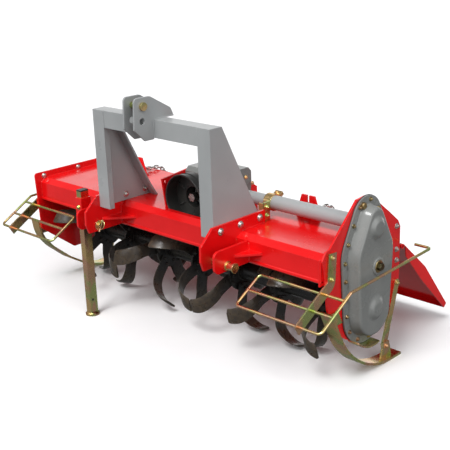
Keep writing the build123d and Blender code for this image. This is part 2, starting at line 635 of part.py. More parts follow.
with BuildPart() as gear_case_cover:
    with BuildSketch(Plane.YZ.offset(CASE_FACE)):
        for y, z, radius in case_circles:
            with Locations((y, z)):
                Circle(radius - CASE_RIM)
        make_hull()
    extrude(amount=CASE_COVER_DEPTH, taper=CASE_DRAFT)
    fillet(gear_case_cover.faces().sort_by(Axis.X)[-1].edges(), radius=CASE_ROUND)
save(gear_case_cover, "gear_case_cover")

with BuildPart() as oil_plug:
    with BuildSketch(Plane.YZ.offset(CASE_FACE + CASE_COVER_DEPTH)):
        with Locations((DRIVE_Y + 8.0, CASE_MID_Z - 40.0)):
            RegularPolygon(OIL_PLUG_R, 6)
    extrude(amount=OIL_PLUG_LENGTH)
save(oil_plug, "oil_plug")

with BuildPart() as rotor_bearing_left:
    with BuildSketch(Plane.YZ.offset(LEFT_FACE)):
        with Locations((ROTOR_Y, ROTOR_Z)):
            Circle(BEARING_R)
    extrude(amount=-BEARING_FLANGE)
    with BuildSketch(Plane.YZ.offset(LEFT_FACE - BEARING_FLANGE)):
        with Locations((ROTOR_Y, ROTOR_Z)):
            Circle(BEARING_CAP_R)
    extrude(amount=-BEARING_CAP)
    with BuildSketch(Plane.YZ.offset(LEFT_FACE)):
        with Locations((ROTOR_Y, ROTOR_Z)):
            Circle(STUB_SHAFT_R + RUNNING_GAP)
    extrude(amount=-BEARING_SEAT, mode=Mode.SUBTRACT)
save(rotor_bearing_left, "rotor_bearing_left")

# ---- rotor: a tube with stub shafts and flanges, and six curved blades on each flange ---------
BLADE_TURNS = (114.0, 96.0, 18.0, 108.0, 48.0, 42.0, 108.0)    # degrees, the first blade of each flange
FLANGE_COUNT = len(BLADE_TURNS)
FLANGE_PITCH = (HOOD_LENGTH - 2 * FLANGE_INSET) / (FLANGE_COUNT - 1)
flange_places = [HOOD_SHIFT + (i - (FLANGE_COUNT - 1) / 2) * FLANGE_PITCH for i in range(FLANGE_COUNT)]
with BuildPart() as rotor_shaft:
    with BuildSketch(Plane.YZ.offset(HOOD_LEFT + ROTOR_END_GAP)):
        with Locations((ROTOR_Y, ROTOR_Z)):
            Circle(ROTOR_TUBE_R)
    extrude(amount=HOOD_RIGHT - HOOD_LEFT - 2 * ROTOR_END_GAP)
    with BuildSketch(Plane.YZ.offset(LEFT_FACE - STUB_REACH)):
        with Locations((ROTOR_Y, ROTOR_Z)):
            Circle(STUB_SHAFT_R)
    extrude(amount=CASE_FACE - SEAT_GAP - LEFT_FACE + STUB_REACH)
    for x in flange_places:
        with BuildSketch(Plane.YZ.offset(x - FLANGE_THICK / 2)):
            with Locations((ROTOR_Y, ROTOR_Z)):
                Circle(FLANGE_R)
        extrude(amount=FLANGE_THICK)
save(rotor_shaft, "rotor_shaft")

# A blade about the X axis: bent from the shank (along +Z) to the tip (along +X), swept towards -Y.
BLADE_HALF = BLADE_SHANK_WIDTH / 2
BLADE_BELLY = 6.0           # how far the edges bow
BLADE_TOP = BLADE_SWING_R + BLADE_THICK    # above the bent sheet, which the outline is cut from
with BuildPart() as blade:
    with BuildSketch(Plane.XZ.offset(-BLADE_SWING_R)):
        with BuildLine():
            FilletPolyline(
                (0.0, BLADE_FOOT_R),
                (0.0, BLADE_SWING_R - BLADE_THICK),
                (BLADE_REACH, BLADE_SWING_R - BLADE_THICK),
                radius=BLADE_BEND_R,
            )
            offset(amount=BLADE_THICK, side=Side.LEFT)
        make_face()
    extrude(amount=2 * BLADE_SWING_R)
    with BuildSketch(Plane.YZ.offset(-BLADE_THICK)):
        with BuildLine():
            leading = ThreePointArc(
                (BLADE_HALF, BLADE_FOOT_R),
                (BLADE_HALF - BLADE_BELLY / 3, BLADE_SWING_R * 0.55),
                (-BLADE_LEAD, BLADE_TOP),
            )
            Line(leading @ 1, (-BLADE_SWEEP, BLADE_TOP))
            trailing = ThreePointArc(
                (-BLADE_SWEEP, BLADE_TOP),
                (-BLADE_HALF - BLADE_BELLY, BLADE_SWING_R * 0.62),
                (-BLADE_HALF, BLADE_FOOT_R),
            )
            Line(trailing @ 1, leading @ 0)
        make_face()
    extrude(amount=BLADE_REACH + 2 * BLADE_THICK, mode=Mode.INTERSECT)
    with BuildSketch(Plane.XY):
        with BuildLine():
            shoulder = Line((-BLADE_THICK, 2 * BLADE_HALF), (BLADE_REACH * 0.3, 4.0 - BLADE_LEAD))
            slant = ThreePointArc(
                shoulder @ 1,
                (BLADE_REACH * 0.8, -BLADE_LEAD * 1.8),
                (BLADE_REACH + 1.0, BLADE_TIP - BLADE_SWEEP),
            )
            Polyline(
                slant @ 1,
                (BLADE_REACH + 1.0, -BLADE_SWEEP - 1.0),
                (-BLADE_THICK, -BLADE_SWEEP - 1.0),
                shoulder @ 0,
            )
        make_face()
    extrude(amount=BLADE_TOP, mode=Mode.INTERSECT)

BLADES_PER_FLANGE = 6
for number, (x, first_turn) in enumerate(zip(flange_places, BLADE_TURNS), start=1):
    with BuildPart() as blade_set:
        for i in range(BLADES_PER_FLANGE):
            hand = 1 if i % 2 == 0 else -1
            turn = first_turn + i * 360.0 / BLADES_PER_FLANGE
            seat = x + hand * (FLANGE_THICK / 2 + BLADE_THICK)
            one = blade.part if hand > 0 else mirror(blade.part, about=Plane.YZ, mode=Mode.PRIVATE)
            add(one.moved(Location((seat, ROTOR_Y, ROTOR_Z), (turn, 0.0, 0.0))))
    save(blade_set, f"blade_set_{number}")

# ---- skids with their rear struts --------------------------------------------------------------
SKID_MID_Z = GROUND_Z + SKID_THICK / 2
Bend = namedtuple("Bend", "y rise")              # corner of the strip: from the rotor's axis, above its foot
Skid = namedtuple("Skid", "outboard radius bends")
SKIDS = {
    "left": Skid(30.0, 150.0, [Bend(-278.0, 322.0), Bend(-266.0, 242.0), Bend(-212.0, 174.0),
                               Bend(-120.0, 94.0), Bend(-15.0, 27.0), Bend(75.0, 0.0), Bend(205.0, 0.0)]),
    "right": Skid(6.0, 370.0, [Bend(-234.0, 309.0), Bend(-90.0, 0.0), Bend(205.0, 0.0)]),
}
SKID_LUG_REACH = 60.0       # from the strip back over the side plate
SKID_LUG_HEIGHT = 54.0
STRUT_LOW = (ROTOR_Y + 128.0, GROUND_Z + 58.0)
STRUT_TOP = (HOOD_REAR_Y - 24.0, PLATE_REAR_LOW_Z + 12.0)
STRUT_EYE = 18.0
for side in SIDES:
    skid_line = SKIDS[side.name]
    corners = [(ROTOR_Y + bend.y, SKID_MID_Z + bend.rise) for bend in skid_line.bends]
    lean = (corners[1][0] - corners[0][0]) / (corners[0][1] - corners[1][1])
    strip_in = abs(side.face) + skid_line.outboard - SKID_WIDTH / 2
    strip_plane, strip_step = slab(side.sign, strip_in, SKID_WIDTH)
    lug_plane, lug_step = slab(side.sign, abs(side.face) + SEAT_GAP, STRUT_THICK)
    lug_out_plane, lug_out_step = slab(side.sign, abs(side.face) + SEAT_GAP + STRUT_THICK, STRUT_THICK)
    with BuildPart() as skid:
        with BuildSketch(strip_plane):
            with BuildLine():
                path = FilletPolyline(*corners, radius=skid_line.radius)
            trace(path, line_width=SKID_THICK)
        extrude(amount=strip_step)
        with BuildSketch(lug_out_plane):
            with BuildLine():
                Polyline(
                    (STRUT_LOW[0] - 2 * STRUT_EYE, SKID_MID_Z),
                    (STRUT_LOW[0] - STRUT_EYE, STRUT_LOW[1] + STRUT_EYE),
                    (STRUT_LOW[0] + STRUT_EYE, STRUT_LOW[1] + STRUT_EYE),
                    (STRUT_LOW[0] + 2 * STRUT_EYE, SKID_MID_Z),
                    close=True,
                )
            make_face()
        extrude(amount=lug_out_step)
        with BuildSketch(lug_plane):
            with BuildLine():
                lug_top = (corners[0][0] + SKID_THICK * lean, corners[0][1] - SKID_THICK)
                lug_low = (lug_top[0] + SKID_LUG_HEIGHT * lean, lug_top[1] - SKID_LUG_HEIGHT)
                Polyline(
                    lug_top,
                    (lug_top[0] + SKID_LUG_REACH, lug_top[1]),
                    (lug_low[0] + SKID_LUG_REACH, lug_low[1]),
                    lug_low,
                    close=True,
                )
            make_face()
        extrude(amount=lug_step)
    save(skid, f"skid_{side.name}")
    with BuildPart() as skid_strut:
        with BuildSketch(lug_plane) as strut:
            run = STRUT_TOP[0] - STRUT_LOW[0]
            rise = STRUT_TOP[1] - STRUT_LOW[1]
            with Locations((STRUT_LOW[0] + run / 2, STRUT_LOW[1] + rise / 2)):
                SlotCenterToCenter(hypot(run, rise), STRUT_WIDTH, rotation=degrees(atan2(rise, run)))
        extrude(amount=lug_step)
    save(skid_strut, f"skid_strut_{side.name}")

# ---- front guards: a flat bar on each side plate and a bent rod frame --------------------------
Guard = namedtuple("Guard", "y z")               # top rod's place
GUARD_PLACES = {
    "left": Guard(HOOD_FRONT_Y - 32.0, HOOD_TOP_Z - 126.0),
    "right": Guard(HOOD_FRONT_Y + 4.0, HOOD_TOP_Z - 140.0),
}
for side in SIDES:
    place = GUARD_PLACES[side.name]
    step_y = -GUARD_ROD_PITCH * cos(radians(GUARD_SLOPE))
    step_z = -GUARD_ROD_PITCH * sin(radians(GUARD_SLOPE))
    rods = [(place.y + i * step_y, place.z + i * step_z) for i in range(3)]
    out = side.face + side.sign * GUARD_REACH
    into = out - side.sign * GUARD_WIDTH
    bend = (place.y - 0.5 * step_y, place.z - 0.5 * step_z)
    with BuildPart() as guard_frame:
        with BuildLine():
            loop = FilletPolyline(
                (out - side.sign * GUARD_TIP, bend[0] + GUARD_SIDE_LENGTH, bend[1] + GUARD_TIP_RISE),
                (out, bend[0] + GUARD_SIDE_LENGTH, bend[1] + GUARD_TIP_RISE),
                (out, bend[0], bend[1]),
                (out, rods[2][0], rods[2][1]),
                (into, rods[2][0], rods[2][1]),
                (into, rods[0][0], rods[0][1]),
                (out - side.sign * GUARD_ROD_R, rods[0][0], rods[0][1]),
                radius=GUARD_ROD_BEND,
            )
        with BuildSketch(Plane(origin=loop @ 0, z_dir=loop % 0)):
            Circle(GUARD_ROD_R)
        sweep()
        with BuildSketch(Plane.YZ.offset(into)):
            with Locations(rods[1]):
                Circle(GUARD_ROD_R)
        extrude(amount=side.sign * GUARD_WIDTH)
    save(guard_frame, f"guard_frame_{side.name}")
    bar_plane, bar_step = slab(side.sign, abs(side.face), GUARD_BAR_THICK)
    with BuildPart() as guard_bar:
        with BuildSketch(bar_plane) as bar:
            with BuildLine():
                bar_line = FilletPolyline(
                    (rods[0][0] + 48.0, rods[0][1] + 140.0),
                    (rods[0][0] + 40.0, rods[0][1] + 26.0),
                    (rods[2][0] - 14.0, rods[2][1] - 8.0),
                    radius=GUARD_BAR_BEND,
                )
            trace(bar_line, line_width=GUARD_BAR_WIDTH)
            with Locations(*rods):
                Circle(GUARD_ROD_R + RUNNING_GAP, mode=Mode.SUBTRACT)
        extrude(amount=bar_step)
    save(guard_bar, f"guard_bar_{side.name}")

# ---- parking stand: a square tube in an open sleeve --------------------------------------------
SLEEVE_IN_X = STAND_WIDTH / 2 + STAND_FIT
SLEEVE_IN_Y = STAND_DEPTH / 2 + STAND_FIT
STAND_X = -(CLEVIS_OUT + LOWER_PIN_STUB + STAND_GAP + SLEEVE_WALL + SLEEVE_IN_X)
with BuildPart() as stand_sleeve:
    with BuildSketch(Plane.XY.offset(SLEEVE_TOP_Z - SLEEVE_HEIGHT)):
        with Locations((STAND_X, STAND_Y)):
            Rectangle(2 * (SLEEVE_IN_X + SLEEVE_WALL), 2 * (SLEEVE_IN_Y + SLEEVE_WALL))
            Rectangle(2 * SLEEVE_IN_X, 2 * SLEEVE_IN_Y, mode=Mode.SUBTRACT)
    extrude(amount=SLEEVE_HEIGHT)
    arm = -CLEVIS_OUT - (STAND_X + SLEEVE_IN_X + SLEEVE_WALL)
    with BuildSketch(Plane.XY.offset(GUSSET_Z + GUSSET_THICK / 2)):
        with Locations((-CLEVIS_OUT - arm / 2, STAND_Y + SLEEVE_IN_Y + SLEEVE_WALL / 2)):
            Rectangle(arm, SLEEVE_WALL)
    extrude(amount=HITCH_LOW_Z + CLEVIS_HEIGHT - GUSSET_Z - GUSSET_THICK / 2)
save(stand_sleeve, "stand_sleeve")

with BuildPart() as stand_tube:
    with BuildSketch(Plane.XY.offset(GROUND_Z + STAND_FOOT_THICK)):
        with Locations((STAND_X, STAND_Y)):
            Rectangle(STAND_WIDTH, STAND_DEPTH)
            Rectangle(STAND_WIDTH - 2 * STAND_WALL, STAND_DEPTH - 2 * STAND_WALL, mode=Mode.SUBTRACT)
    extrude(amount=STAND_TOP_Z - GROUND_Z - STAND_FOOT_THICK)
    with BuildSketch(Plane.XY.offset(GROUND_Z)):
        with Locations((STAND_X, STAND_Y)):
            Circle(STAND_FOOT / 2)
    extrude(amount=STAND_FOOT_THICK)
save(stand_tube, "stand_tube")

with BuildPart() as stand_cap:
    with BuildSketch(Plane.XY.offset(STAND_TOP_Z)):
        with Locations((STAND_X, STAND_Y)):
            Rectangle(STAND_WIDTH, STAND_DEPTH)
    extrude(amount=STAND_CAP)
save(stand_cap, "stand_cap")

# ---- tailboard on its hinge rod, and the lugs that its chains hook into ------------------------
HINGE_LUG_WIDTH = 24.0
HINGE_LUG_INSET = 70.0
EYE_WIDTH = 60.0
lug_places = [HOOD_LEFT + HINGE_LUG_INSET, HOOD_SHIFT, HOOD_RIGHT - HINGE_LUG_INSET]
with BuildPart() as tailboard_hinge:
    with BuildSketch(Plane.YZ.offset(HOOD_LEFT + MOVING_GAP)):
        with Locations((HINGE_Y, HINGE_Z)):
            Circle(TAIL_HINGE_R)
    extrude(amount=HOOD_RIGHT - HOOD_LEFT - 2 * MOVING_GAP)
    for x in lug_places:
        with BuildSketch(Plane.YZ.offset(x - HINGE_LUG_WIDTH / 2)):
            with Locations((HINGE_Y, HINGE_Z)):
                Circle(TAIL_EYE_R)
            with Locations(((HOOD_REAR_Y + HINGE_Y) / 2, HINGE_Z)):
                Rectangle(HINGE_Y - HOOD_REAR_Y, 2 * TAIL_EYE_R)
        extrude(amount=HINGE_LUG_WIDTH)
save(tailboard_hinge, "tailboard_hinge")

upper = radians(TAIL_UPPER_SLOPE)
lower = radians(TAIL_LOWER_SLOPE)
tail_start = (HINGE_Y + TAIL_EYE_R * sin(upper), HINGE_Z + TAIL_EYE_R * cos(upper))
tail_bend = (tail_start[0] + TAIL_UPPER * cos(upper), tail_start[1] - TAIL_UPPER * sin(upper))
tail_tip = (tail_bend[0] + TAIL_LOWER * cos(lower), tail_bend[1] - TAIL_LOWER * sin(lower))
tail_lip = (tail_tip[0] - TAIL_LIP * sin(lower), tail_tip[1] - TAIL_LIP * cos(lower))
cheek_bend = (tail_bend[0] - TAIL_CHEEK * sin(upper), tail_bend[1] - TAIL_CHEEK * cos(upper))
cheek_start = (tail_start[0] + CHEEK_SETBACK * cos(upper), tail_start[1] - CHEEK_SETBACK * sin(upper))
cheek_low = (cheek_start[0] - TAIL_CHEEK * sin(upper) * 0.4 + 22.0,
             cheek_start[1] - TAIL_CHEEK * cos(upper) * 1.2)
with BuildPart() as tailboard:
    with BuildSketch(Plane.YZ.offset(LEFT_FACE)):
        with BuildLine():
            Polyline(tail_start, tail_bend, tail_tip, tail_lip)
            offset(amount=TAIL_SHEET, side=Side.RIGHT)
        make_face()
    extrude(amount=RIGHT_FACE - LEFT_FACE)
    for x in (LEFT_FACE, RIGHT_FACE - TAIL_SHEET):
        with BuildSketch(Plane.YZ.offset(x)):
            with BuildLine():
                Polyline(cheek_start, tail_bend, tail_tip, tail_lip, cheek_bend, cheek_low, close=True)
            make_face()
        extrude(amount=TAIL_SHEET)
    for x in lug_places:
        for eye_x in (x - HINGE_LUG_WIDTH / 2 - MOVING_GAP - EYE_WIDTH / 2,
                      x + HINGE_LUG_WIDTH / 2 + MOVING_GAP + EYE_WIDTH / 2):
            with BuildSketch(Plane.YZ.offset(eye_x - EYE_WIDTH / 2)):
                with Locations((HINGE_Y, HINGE_Z)):
                    Circle(TAIL_EYE_R)
            extrude(amount=EYE_WIDTH)
    with BuildSketch(Plane.YZ.offset(LEFT_FACE)):
        with Locations((HINGE_Y, HINGE_Z)):
            Circle(TAIL_HINGE_R + RUNNING_GAP)
    extrude(amount=RIGHT_FACE - LEFT_FACE, mode=Mode.SUBTRACT)
    for x in lug_places:
        with BuildSketch(Plane.YZ.offset(x - HINGE_LUG_WIDTH / 2 - MOVING_GAP)):
            with Locations((HINGE_Y, HINGE_Z)):
                Circle(TAIL_EYE_R + MOVING_GAP)
        extrude(amount=HINGE_LUG_WIDTH + 2 * MOVING_GAP, mode=Mode.SUBTRACT)
save(tailboard, "tailboard")

with BuildPart() as chain_lugs:
    for x in (CHAIN_LUG_X, 2 * HOOD_SHIFT - CHAIN_LUG_X):
        with BuildSketch(Plane.XZ.offset(-CHAIN_LUG_Y)) as lug:
            with Locations((x, HOOD_TOP_Z + CHAIN_LUG_HEIGHT / 2)):
                Trapezoid(CHAIN_LUG_WIDTH, CHAIN_LUG_HEIGHT, 70.0)
            with Locations((x, HOOD_TOP_Z + CHAIN_LUG_HEIGHT)):
                Rectangle(CHAIN_SLOT, CHAIN_LUG_HEIGHT, mode=Mode.SUBTRACT)
            with Locations((x, HOOD_TOP_Z + CHAIN_LUG_HEIGHT / 2)):
                Circle(CHAIN_HOLE_R, mode=Mode.SUBTRACT)
        extrude(amount=CHAIN_LUG_THICK)
save(chain_lugs, "chain_lugs")

# ---- bottom shoe that shields the gear case ----------------------------------------------------
with BuildPart() as case_shoe:
    with BuildSketch(Plane.YZ.offset(RIGHT_FACE)):
        with BuildLine():
            arc = CenterArc((ROTOR_Y, ROTOR_Z), CASE_LOW_R + SHOE_GAP + SHOE_THICK / 2, 225.0, 60.0)
        trace(arc, line_width=SHOE_THICK)
    extrude(amount=SHOE_WIDTH)
save(case_shoe, "case_shoe")
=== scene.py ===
"""Looks for the rotary tiller: materials for the CAD nodes, and the bolts, welds, chains and trim.

Lengths are in metres in the row frame: origin at the input shaft's end face, +X towards the side
gear case, +Y to the rear, +Z up.
"""
import json
import math
import random

import bmesh
import bpy
from mathutils import Matrix, Vector


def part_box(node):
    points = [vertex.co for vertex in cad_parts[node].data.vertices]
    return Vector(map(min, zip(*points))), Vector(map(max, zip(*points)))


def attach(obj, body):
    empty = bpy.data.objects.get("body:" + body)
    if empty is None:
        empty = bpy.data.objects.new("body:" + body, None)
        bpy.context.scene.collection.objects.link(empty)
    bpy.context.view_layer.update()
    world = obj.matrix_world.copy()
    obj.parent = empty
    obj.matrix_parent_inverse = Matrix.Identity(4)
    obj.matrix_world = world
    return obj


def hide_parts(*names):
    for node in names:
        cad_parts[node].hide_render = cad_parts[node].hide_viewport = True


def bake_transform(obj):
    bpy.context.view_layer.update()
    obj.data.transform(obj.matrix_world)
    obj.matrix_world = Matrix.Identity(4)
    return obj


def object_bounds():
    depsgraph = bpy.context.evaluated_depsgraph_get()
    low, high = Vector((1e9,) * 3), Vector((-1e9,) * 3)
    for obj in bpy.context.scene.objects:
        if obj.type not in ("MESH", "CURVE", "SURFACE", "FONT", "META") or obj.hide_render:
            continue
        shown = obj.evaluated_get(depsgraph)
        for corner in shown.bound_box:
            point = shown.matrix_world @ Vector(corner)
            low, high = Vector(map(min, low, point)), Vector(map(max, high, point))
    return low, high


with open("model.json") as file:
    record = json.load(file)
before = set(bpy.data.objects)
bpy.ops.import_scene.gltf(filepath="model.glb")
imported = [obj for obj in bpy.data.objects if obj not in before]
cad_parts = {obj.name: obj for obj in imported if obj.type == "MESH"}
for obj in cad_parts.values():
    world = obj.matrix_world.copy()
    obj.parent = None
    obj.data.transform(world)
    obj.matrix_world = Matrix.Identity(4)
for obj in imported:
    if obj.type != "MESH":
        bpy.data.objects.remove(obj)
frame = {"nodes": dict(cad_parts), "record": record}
cad_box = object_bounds()
rng = random.Random(11)

MM = 0.001
UP = Vector((0, 0, 1))
RIGHT = Vector((1, 0, 0))

# ---- places that several sections share ---------------------------------------------------------
joints = {row["name"]: row for row in frame["record"]["behaviour"]["joints"]}
rotor_axis = Vector(joints["rotor_spin"]["pos_m"])
hinge_axis = Vector(joints["tailboard_hinge"]["pos_m"])
hood_low, hood_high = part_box("hood")
left_plate_low, left_plate_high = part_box("side_plate_left")
right_plate_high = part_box("side_plate_right")[1]
hood_front = hood_low.y
hood_top = hood_high.z

AXLE_Y, AXLE_Z = 0.150, 0.029           # the tube from the gearbox to the gear case
PLUG_Y, PLUG_Z = 0.158, -0.148          # the oil plug in the gear case's cover
STAND_X = -0.473
CHAIN_X = {"right": 0.422, "left": -0.597}
HITCH_PLATE_X = (0.332, 0.342)          # faces of the inner linkage plate
CLEVIS_PLATE_X = (0.395, 0.405)         # faces of the outer one
GUARD_WALL_Y = 0.012                    # inside of the input shaft guard's back wall


def add_object(name, data):
    """Puts an object with this data into the scene."""
    made = bpy.data.objects.new(name, data)
    bpy.context.collection.objects.link(made)
    return made


# ---- camera and key light -----------------------------------------------------------------------
CAMERA_PLACE = Vector((2.528, -2.369, 1.0345))
CAMERA_AZIMUTH = math.radians(44.685)
CAMERA_ELEVATION = math.radians(18.462)
CAMERA_ROLL = math.radians(-2.008)
back = Vector((
    math.sin(CAMERA_AZIMUTH) * math.cos(CAMERA_ELEVATION),
    -math.cos(CAMERA_AZIMUTH) * math.cos(CAMERA_ELEVATION),
    math.sin(CAMERA_ELEVATION),
))
level = Vector((math.cos(CAMERA_AZIMUTH), math.sin(CAMERA_AZIMUTH), 0))
upright = back.cross(level)
across = math.cos(CAMERA_ROLL) * level + math.sin(CAMERA_ROLL) * upright
top = -math.sin(CAMERA_ROLL) * level + math.cos(CAMERA_ROLL) * upright
camera = add_object("camera", bpy.data.cameras.new("camera"))
camera.data.lens = 71.40
camera.data.sensor_width = 36.0
turned = Matrix((across, top, back)).transposed().to_4x4()
camera.matrix_world = Matrix.Translation(CAMERA_PLACE) @ turned
bpy.context.scene.camera = camera
bpy.context.scene.view_settings.view_transform = "Standard"

key_light = add_object("key", bpy.data.lights.new("key", "SUN"))
key_light.data.energy = 2.2
key_light.data.angle = math.radians(24)
key_light.rotation_euler = Vector((0.08, -0.58, 0.90)).to_track_quat("Z", "Y").to_euler()


# ---- node trees ---------------------------------------------------------------------------------
class Tree:
    """A node tree, with short ways to add and join nodes."""

    def __init__(self, tree):
        self.tree = tree

    def put(self, socket, value):
        """Links the value to the socket, or sets it when it is a constant."""
        if isinstance(value, bpy.types.NodeSocket):
            self.tree.links.new(value, socket)
        else:
            socket.default_value = value

    def add(self, kind, settings=None, **values):
        """Adds a node; settings are its own properties, and values go to its sockets by name."""
        made = self.tree.nodes.new("ShaderNode" + kind)
        for key, value in (settings or {}).items():
            setattr(made, key, value)
        for key, value in values.items():
            self.put(made.inputs[key.replace("_", " ")], value)
        return made

    def math(self, operation, first, second=0.0):
        made = self.add("Math", {"operation": operation})
        self.put(made.inputs[0], first)
        self.put(made.inputs[1], second)
        return made.outputs[0]

    def dot(self, first, second):
        made = self.add("VectorMath", {"operation": "DOT_PRODUCT"})
        self.put(made.inputs[0], first)
        self.put(made.inputs[1], second)
        return made.outputs["Value"]

    def spread(self, value, low, high, out_low=0.0, out_high=1.0):
        """A smooth step: out_low where the value is at low, out_high where it is at high."""
        made = self.add("MapRange", {"interpolation_type": "SMOOTHSTEP"}, Value=value,
                        From_Min=low, From_Max=high, To_Min=out_low, To_Max=out_high)
        return made.outputs[0]

    def mix(self, share, first, second):
        """From the first colour to the second as the share goes from 0 to 1."""
        made = self.add("Mix", {"data_type": "RGBA"})
        self.put(made.inputs[0], share)
        for socket, value in ((made.inputs[6], first), (made.inputs[7], second)):
            constant = not isinstance(value, bpy.types.NodeSocket)
            self.put(socket, (*value, 1.0) if constant else value)
        return made.outputs[2]


class Graph(Tree):
    """A material's node tree around its one shader."""

    def __init__(self, name, **shader):
        self.material = bpy.data.materials.new(name)
        self.material.use_nodes = True
        super().__init__(self.material.node_tree)
        self.shader = self.tree.nodes["Principled BSDF"]
        self.place = self.add("TexCoord").outputs["Object"]
        for key, value in shader.items():
            self.put(self.shader.inputs[key.replace("_", " ")], value)

    def noise(self, scale, detail=2.0, roughness=0.5, stretch=(1, 1, 1)):
        """Cloudy values from 0 to 1; scale is in cells a metre, stretch squeezes it by axis."""
        vector = self.add("Mapping", Vector=self.place, Scale=stretch).outputs[0]
        made = self.add("TexNoise", Vector=vector, Scale=scale, Detail=detail, Roughness=roughness)
        return made.outputs["Fac"]

    def edge(self, radius):
        """A rounded normal, and a mask that is 1 on sharp edges."""
        rounded = self.add("Bevel", {"samples": 6}, Radius=radius).outputs[0]
        flat = self.add("NewGeometry").outputs["Normal"]
        return rounded, self.spread(self.dot(rounded, flat), 0.995, 0.86)

    def part(self, share, value):
        """A value made smaller by a share."""
        return self.math("MULTIPLY", value, share)

    def bump(self, height, strength, distance, normal=None):
        made = self.add("Bump", Height=height, Strength=strength, Distance=distance)
        if normal is not None:
            self.put(made.inputs["Normal"], normal)
        return made.outputs[0]

    def finish(self, color, roughness, normal):
        self.put(self.shader.inputs["Base Color"], color)
        self.put(self.shader.inputs["Roughness"], roughness)
        self.put(self.shader.inputs["Normal"], normal)
        return self.material


# ---- world: a dim room with soft lights, and plain white where the camera sees past the floor ---
world = bpy.data.worlds.new("studio")
bpy.context.scene.world = world
world.use_nodes = True
sky = Tree(world.node_tree)
direction = sky.add("TexCoord").outputs["Generated"]
height = sky.add("SeparateXYZ", Vector=direction).outputs["Z"]
band_middle = -0.12
near_horizon = sky.spread(sky.math("ABSOLUTE", sky.math("ADD", height, -band_middle)), 0.26, 0.16)
ROOM_LIGHTS = (     # towards it, the cosines where it starts and is full, colour, kept low
    ((-0.70, 0.70, 0.00), 0.40, 0.70, (1.0, 1.0, 1.0), True),         # backdrop behind the machine
    ((-0.66, 0.68, 0.34), 0.972, 0.978, (1.0, 1.0, 1.0), False),      # window behind it
    ((-0.15, -0.80, 0.70), 0.78, 0.88, (1.3, 1.3, 1.32), False),      # soft box over its front
    ((0.85, -0.10, 0.45), 0.76, 0.90, (1.7, 1.7, 1.72), False),       # soft box on the right
    ((0.00, 0.20, -1.0), 0.30, 0.65, (0.19, 0.19, 0.19), False),      # darker ground
)
shade = (0.27, 0.273, 0.28)
for towards, start, full, color, kept_low in ROOM_LIGHTS:
    share = sky.spread(sky.dot(direction, Vector(towards).normalized()), start, full)
    if kept_low:
        share = sky.math("MULTIPLY", share, near_horizon)
    shade = sky.mix(share, shade, color)
room = sky.tree.nodes["Background"]
sky.put(room.inputs["Color"], shade)
past_floor = sky.add("Background", Color=(1.0, 1.0, 1.0, 1.0))
seen = sky.add("MixShader")
sky.put(seen.inputs[0], sky.add("LightPath").outputs["Is Camera Ray"])
sky.put(seen.inputs[1], room.outputs[0])
sky.put(seen.inputs[2], past_floor.outputs[0])
sky.put(sky.tree.nodes["World Output"].inputs["Surface"], seen.outputs[0])


# ---- materials ----------------------------------------------------------------------------------
def paint(name, color, deep, thin_paint_and_highlight, gloss, coat, peel, edge=0.0016):
    """Sprayed paint: faint clouds in the colour, orange peel, and paler on the edges, partly thin
    paint and partly a painted highlight.
    """
    g = Graph(name, Coat_Weight=coat, Coat_Roughness=0.05, Specular_IOR_Level=0.35)
    rounded, mask = g.edge(edge)
    tone = g.mix(g.spread(g.noise(5.0, 4.0), 0.3, 0.7), color, deep)
    tone = g.mix(g.part(0.25, g.spread(g.noise(140.0, 3.0), 0.56, 0.8)), tone, deep)
    # paler colour on sharp edges: thin paint, and also a painted highlight
    thin_paint_and_highlight_share = g.math("MULTIPLY", mask, g.spread(g.noise(90.0, 3.0), 0.35, 0.6, 0.15, 0.6))
    tone = g.mix(thin_paint_and_highlight_share, tone, thin_paint_and_highlight)
    rough = g.spread(g.noise(9.0, 5.0, 0.6), 0.3, 0.75, gloss, gloss + 0.1)
    wave = g.bump(g.noise(7.0, 1.0), 0.25, 0.0012, rounded)
    return g.finish(tone, rough, g.bump(g.noise(peel, 1.5), 0.2, 0.00012, wave))


red_paint = paint("red_paint", color=(0.80, 0.006, 0.007), deep=(0.70, 0.003, 0.004),
                  thin_paint_and_highlight=(0.86, 0.05, 0.045), gloss=0.18, coat=0.34, peel=260.0)
grey_paint = paint("grey_paint", color=(0.36, 0.372, 0.372), deep=(0.32, 0.332, 0.333),
                   thin_paint_and_highlight=(0.46, 0.475, 0.475), gloss=0.27, coat=0.3, peel=320.0, edge=0.003)
case_paint = paint("case_paint", color=(0.225, 0.232, 0.222), deep=(0.18, 0.187, 0.18),
                   thin_paint_and_highlight=(0.33, 0.34, 0.33), gloss=0.22, coat=0.4, peel=200.0)


def zinc(name, gold, olive, rose, gloss):
    """Yellow zinc: gold that drifts to olive green and rose, with faint drawing marks."""
    g = Graph(name, Metallic=1.0)
    rounded, mask = g.edge(0.0012)
    tone = g.mix(g.spread(g.noise(9.0, 2.0), 0.42, 0.56), gold, olive)
    patches = g.spread(g.noise(13.0, 2.0, 0.5, (1.0, 1.3, 0.7)), 0.50, 0.62)
    tone = g.mix(g.part(0.8, patches), tone, rose)
    specks = g.spread(g.noise(420.0, 2.0), 0.50, 0.80)
    tone = g.mix(g.part(0.06, specks), tone, (0.14, 0.10, 0.05))
    tone = g.mix(g.part(0.55, mask), tone, (0.62, 0.55, 0.36))
    rough = g.spread(g.noise(40.0, 4.0, 0.6), 0.3, 0.75, gloss, gloss + 0.14)
    marks = g.noise(260.0, 2.0, 0.6, (1.0, 1.0, 0.15))
    return g.finish(tone, rough, g.bump(marks, 0.25, 0.00008, rounded))


gold_zinc = zinc("gold_zinc", (0.90, 0.62, 0.28), (0.58, 0.65, 0.25), (0.86, 0.47, 0.32), 0.20)
brown_zinc = zinc("brown_zinc", (0.42, 0.27, 0.12), (0.32, 0.25, 0.11), (0.42, 0.21, 0.12), 0.24)
dark_zinc = zinc("dark_zinc", (0.15, 0.11, 0.07), (0.11, 0.10, 0.05), (0.17, 0.09, 0.055), 0.3)


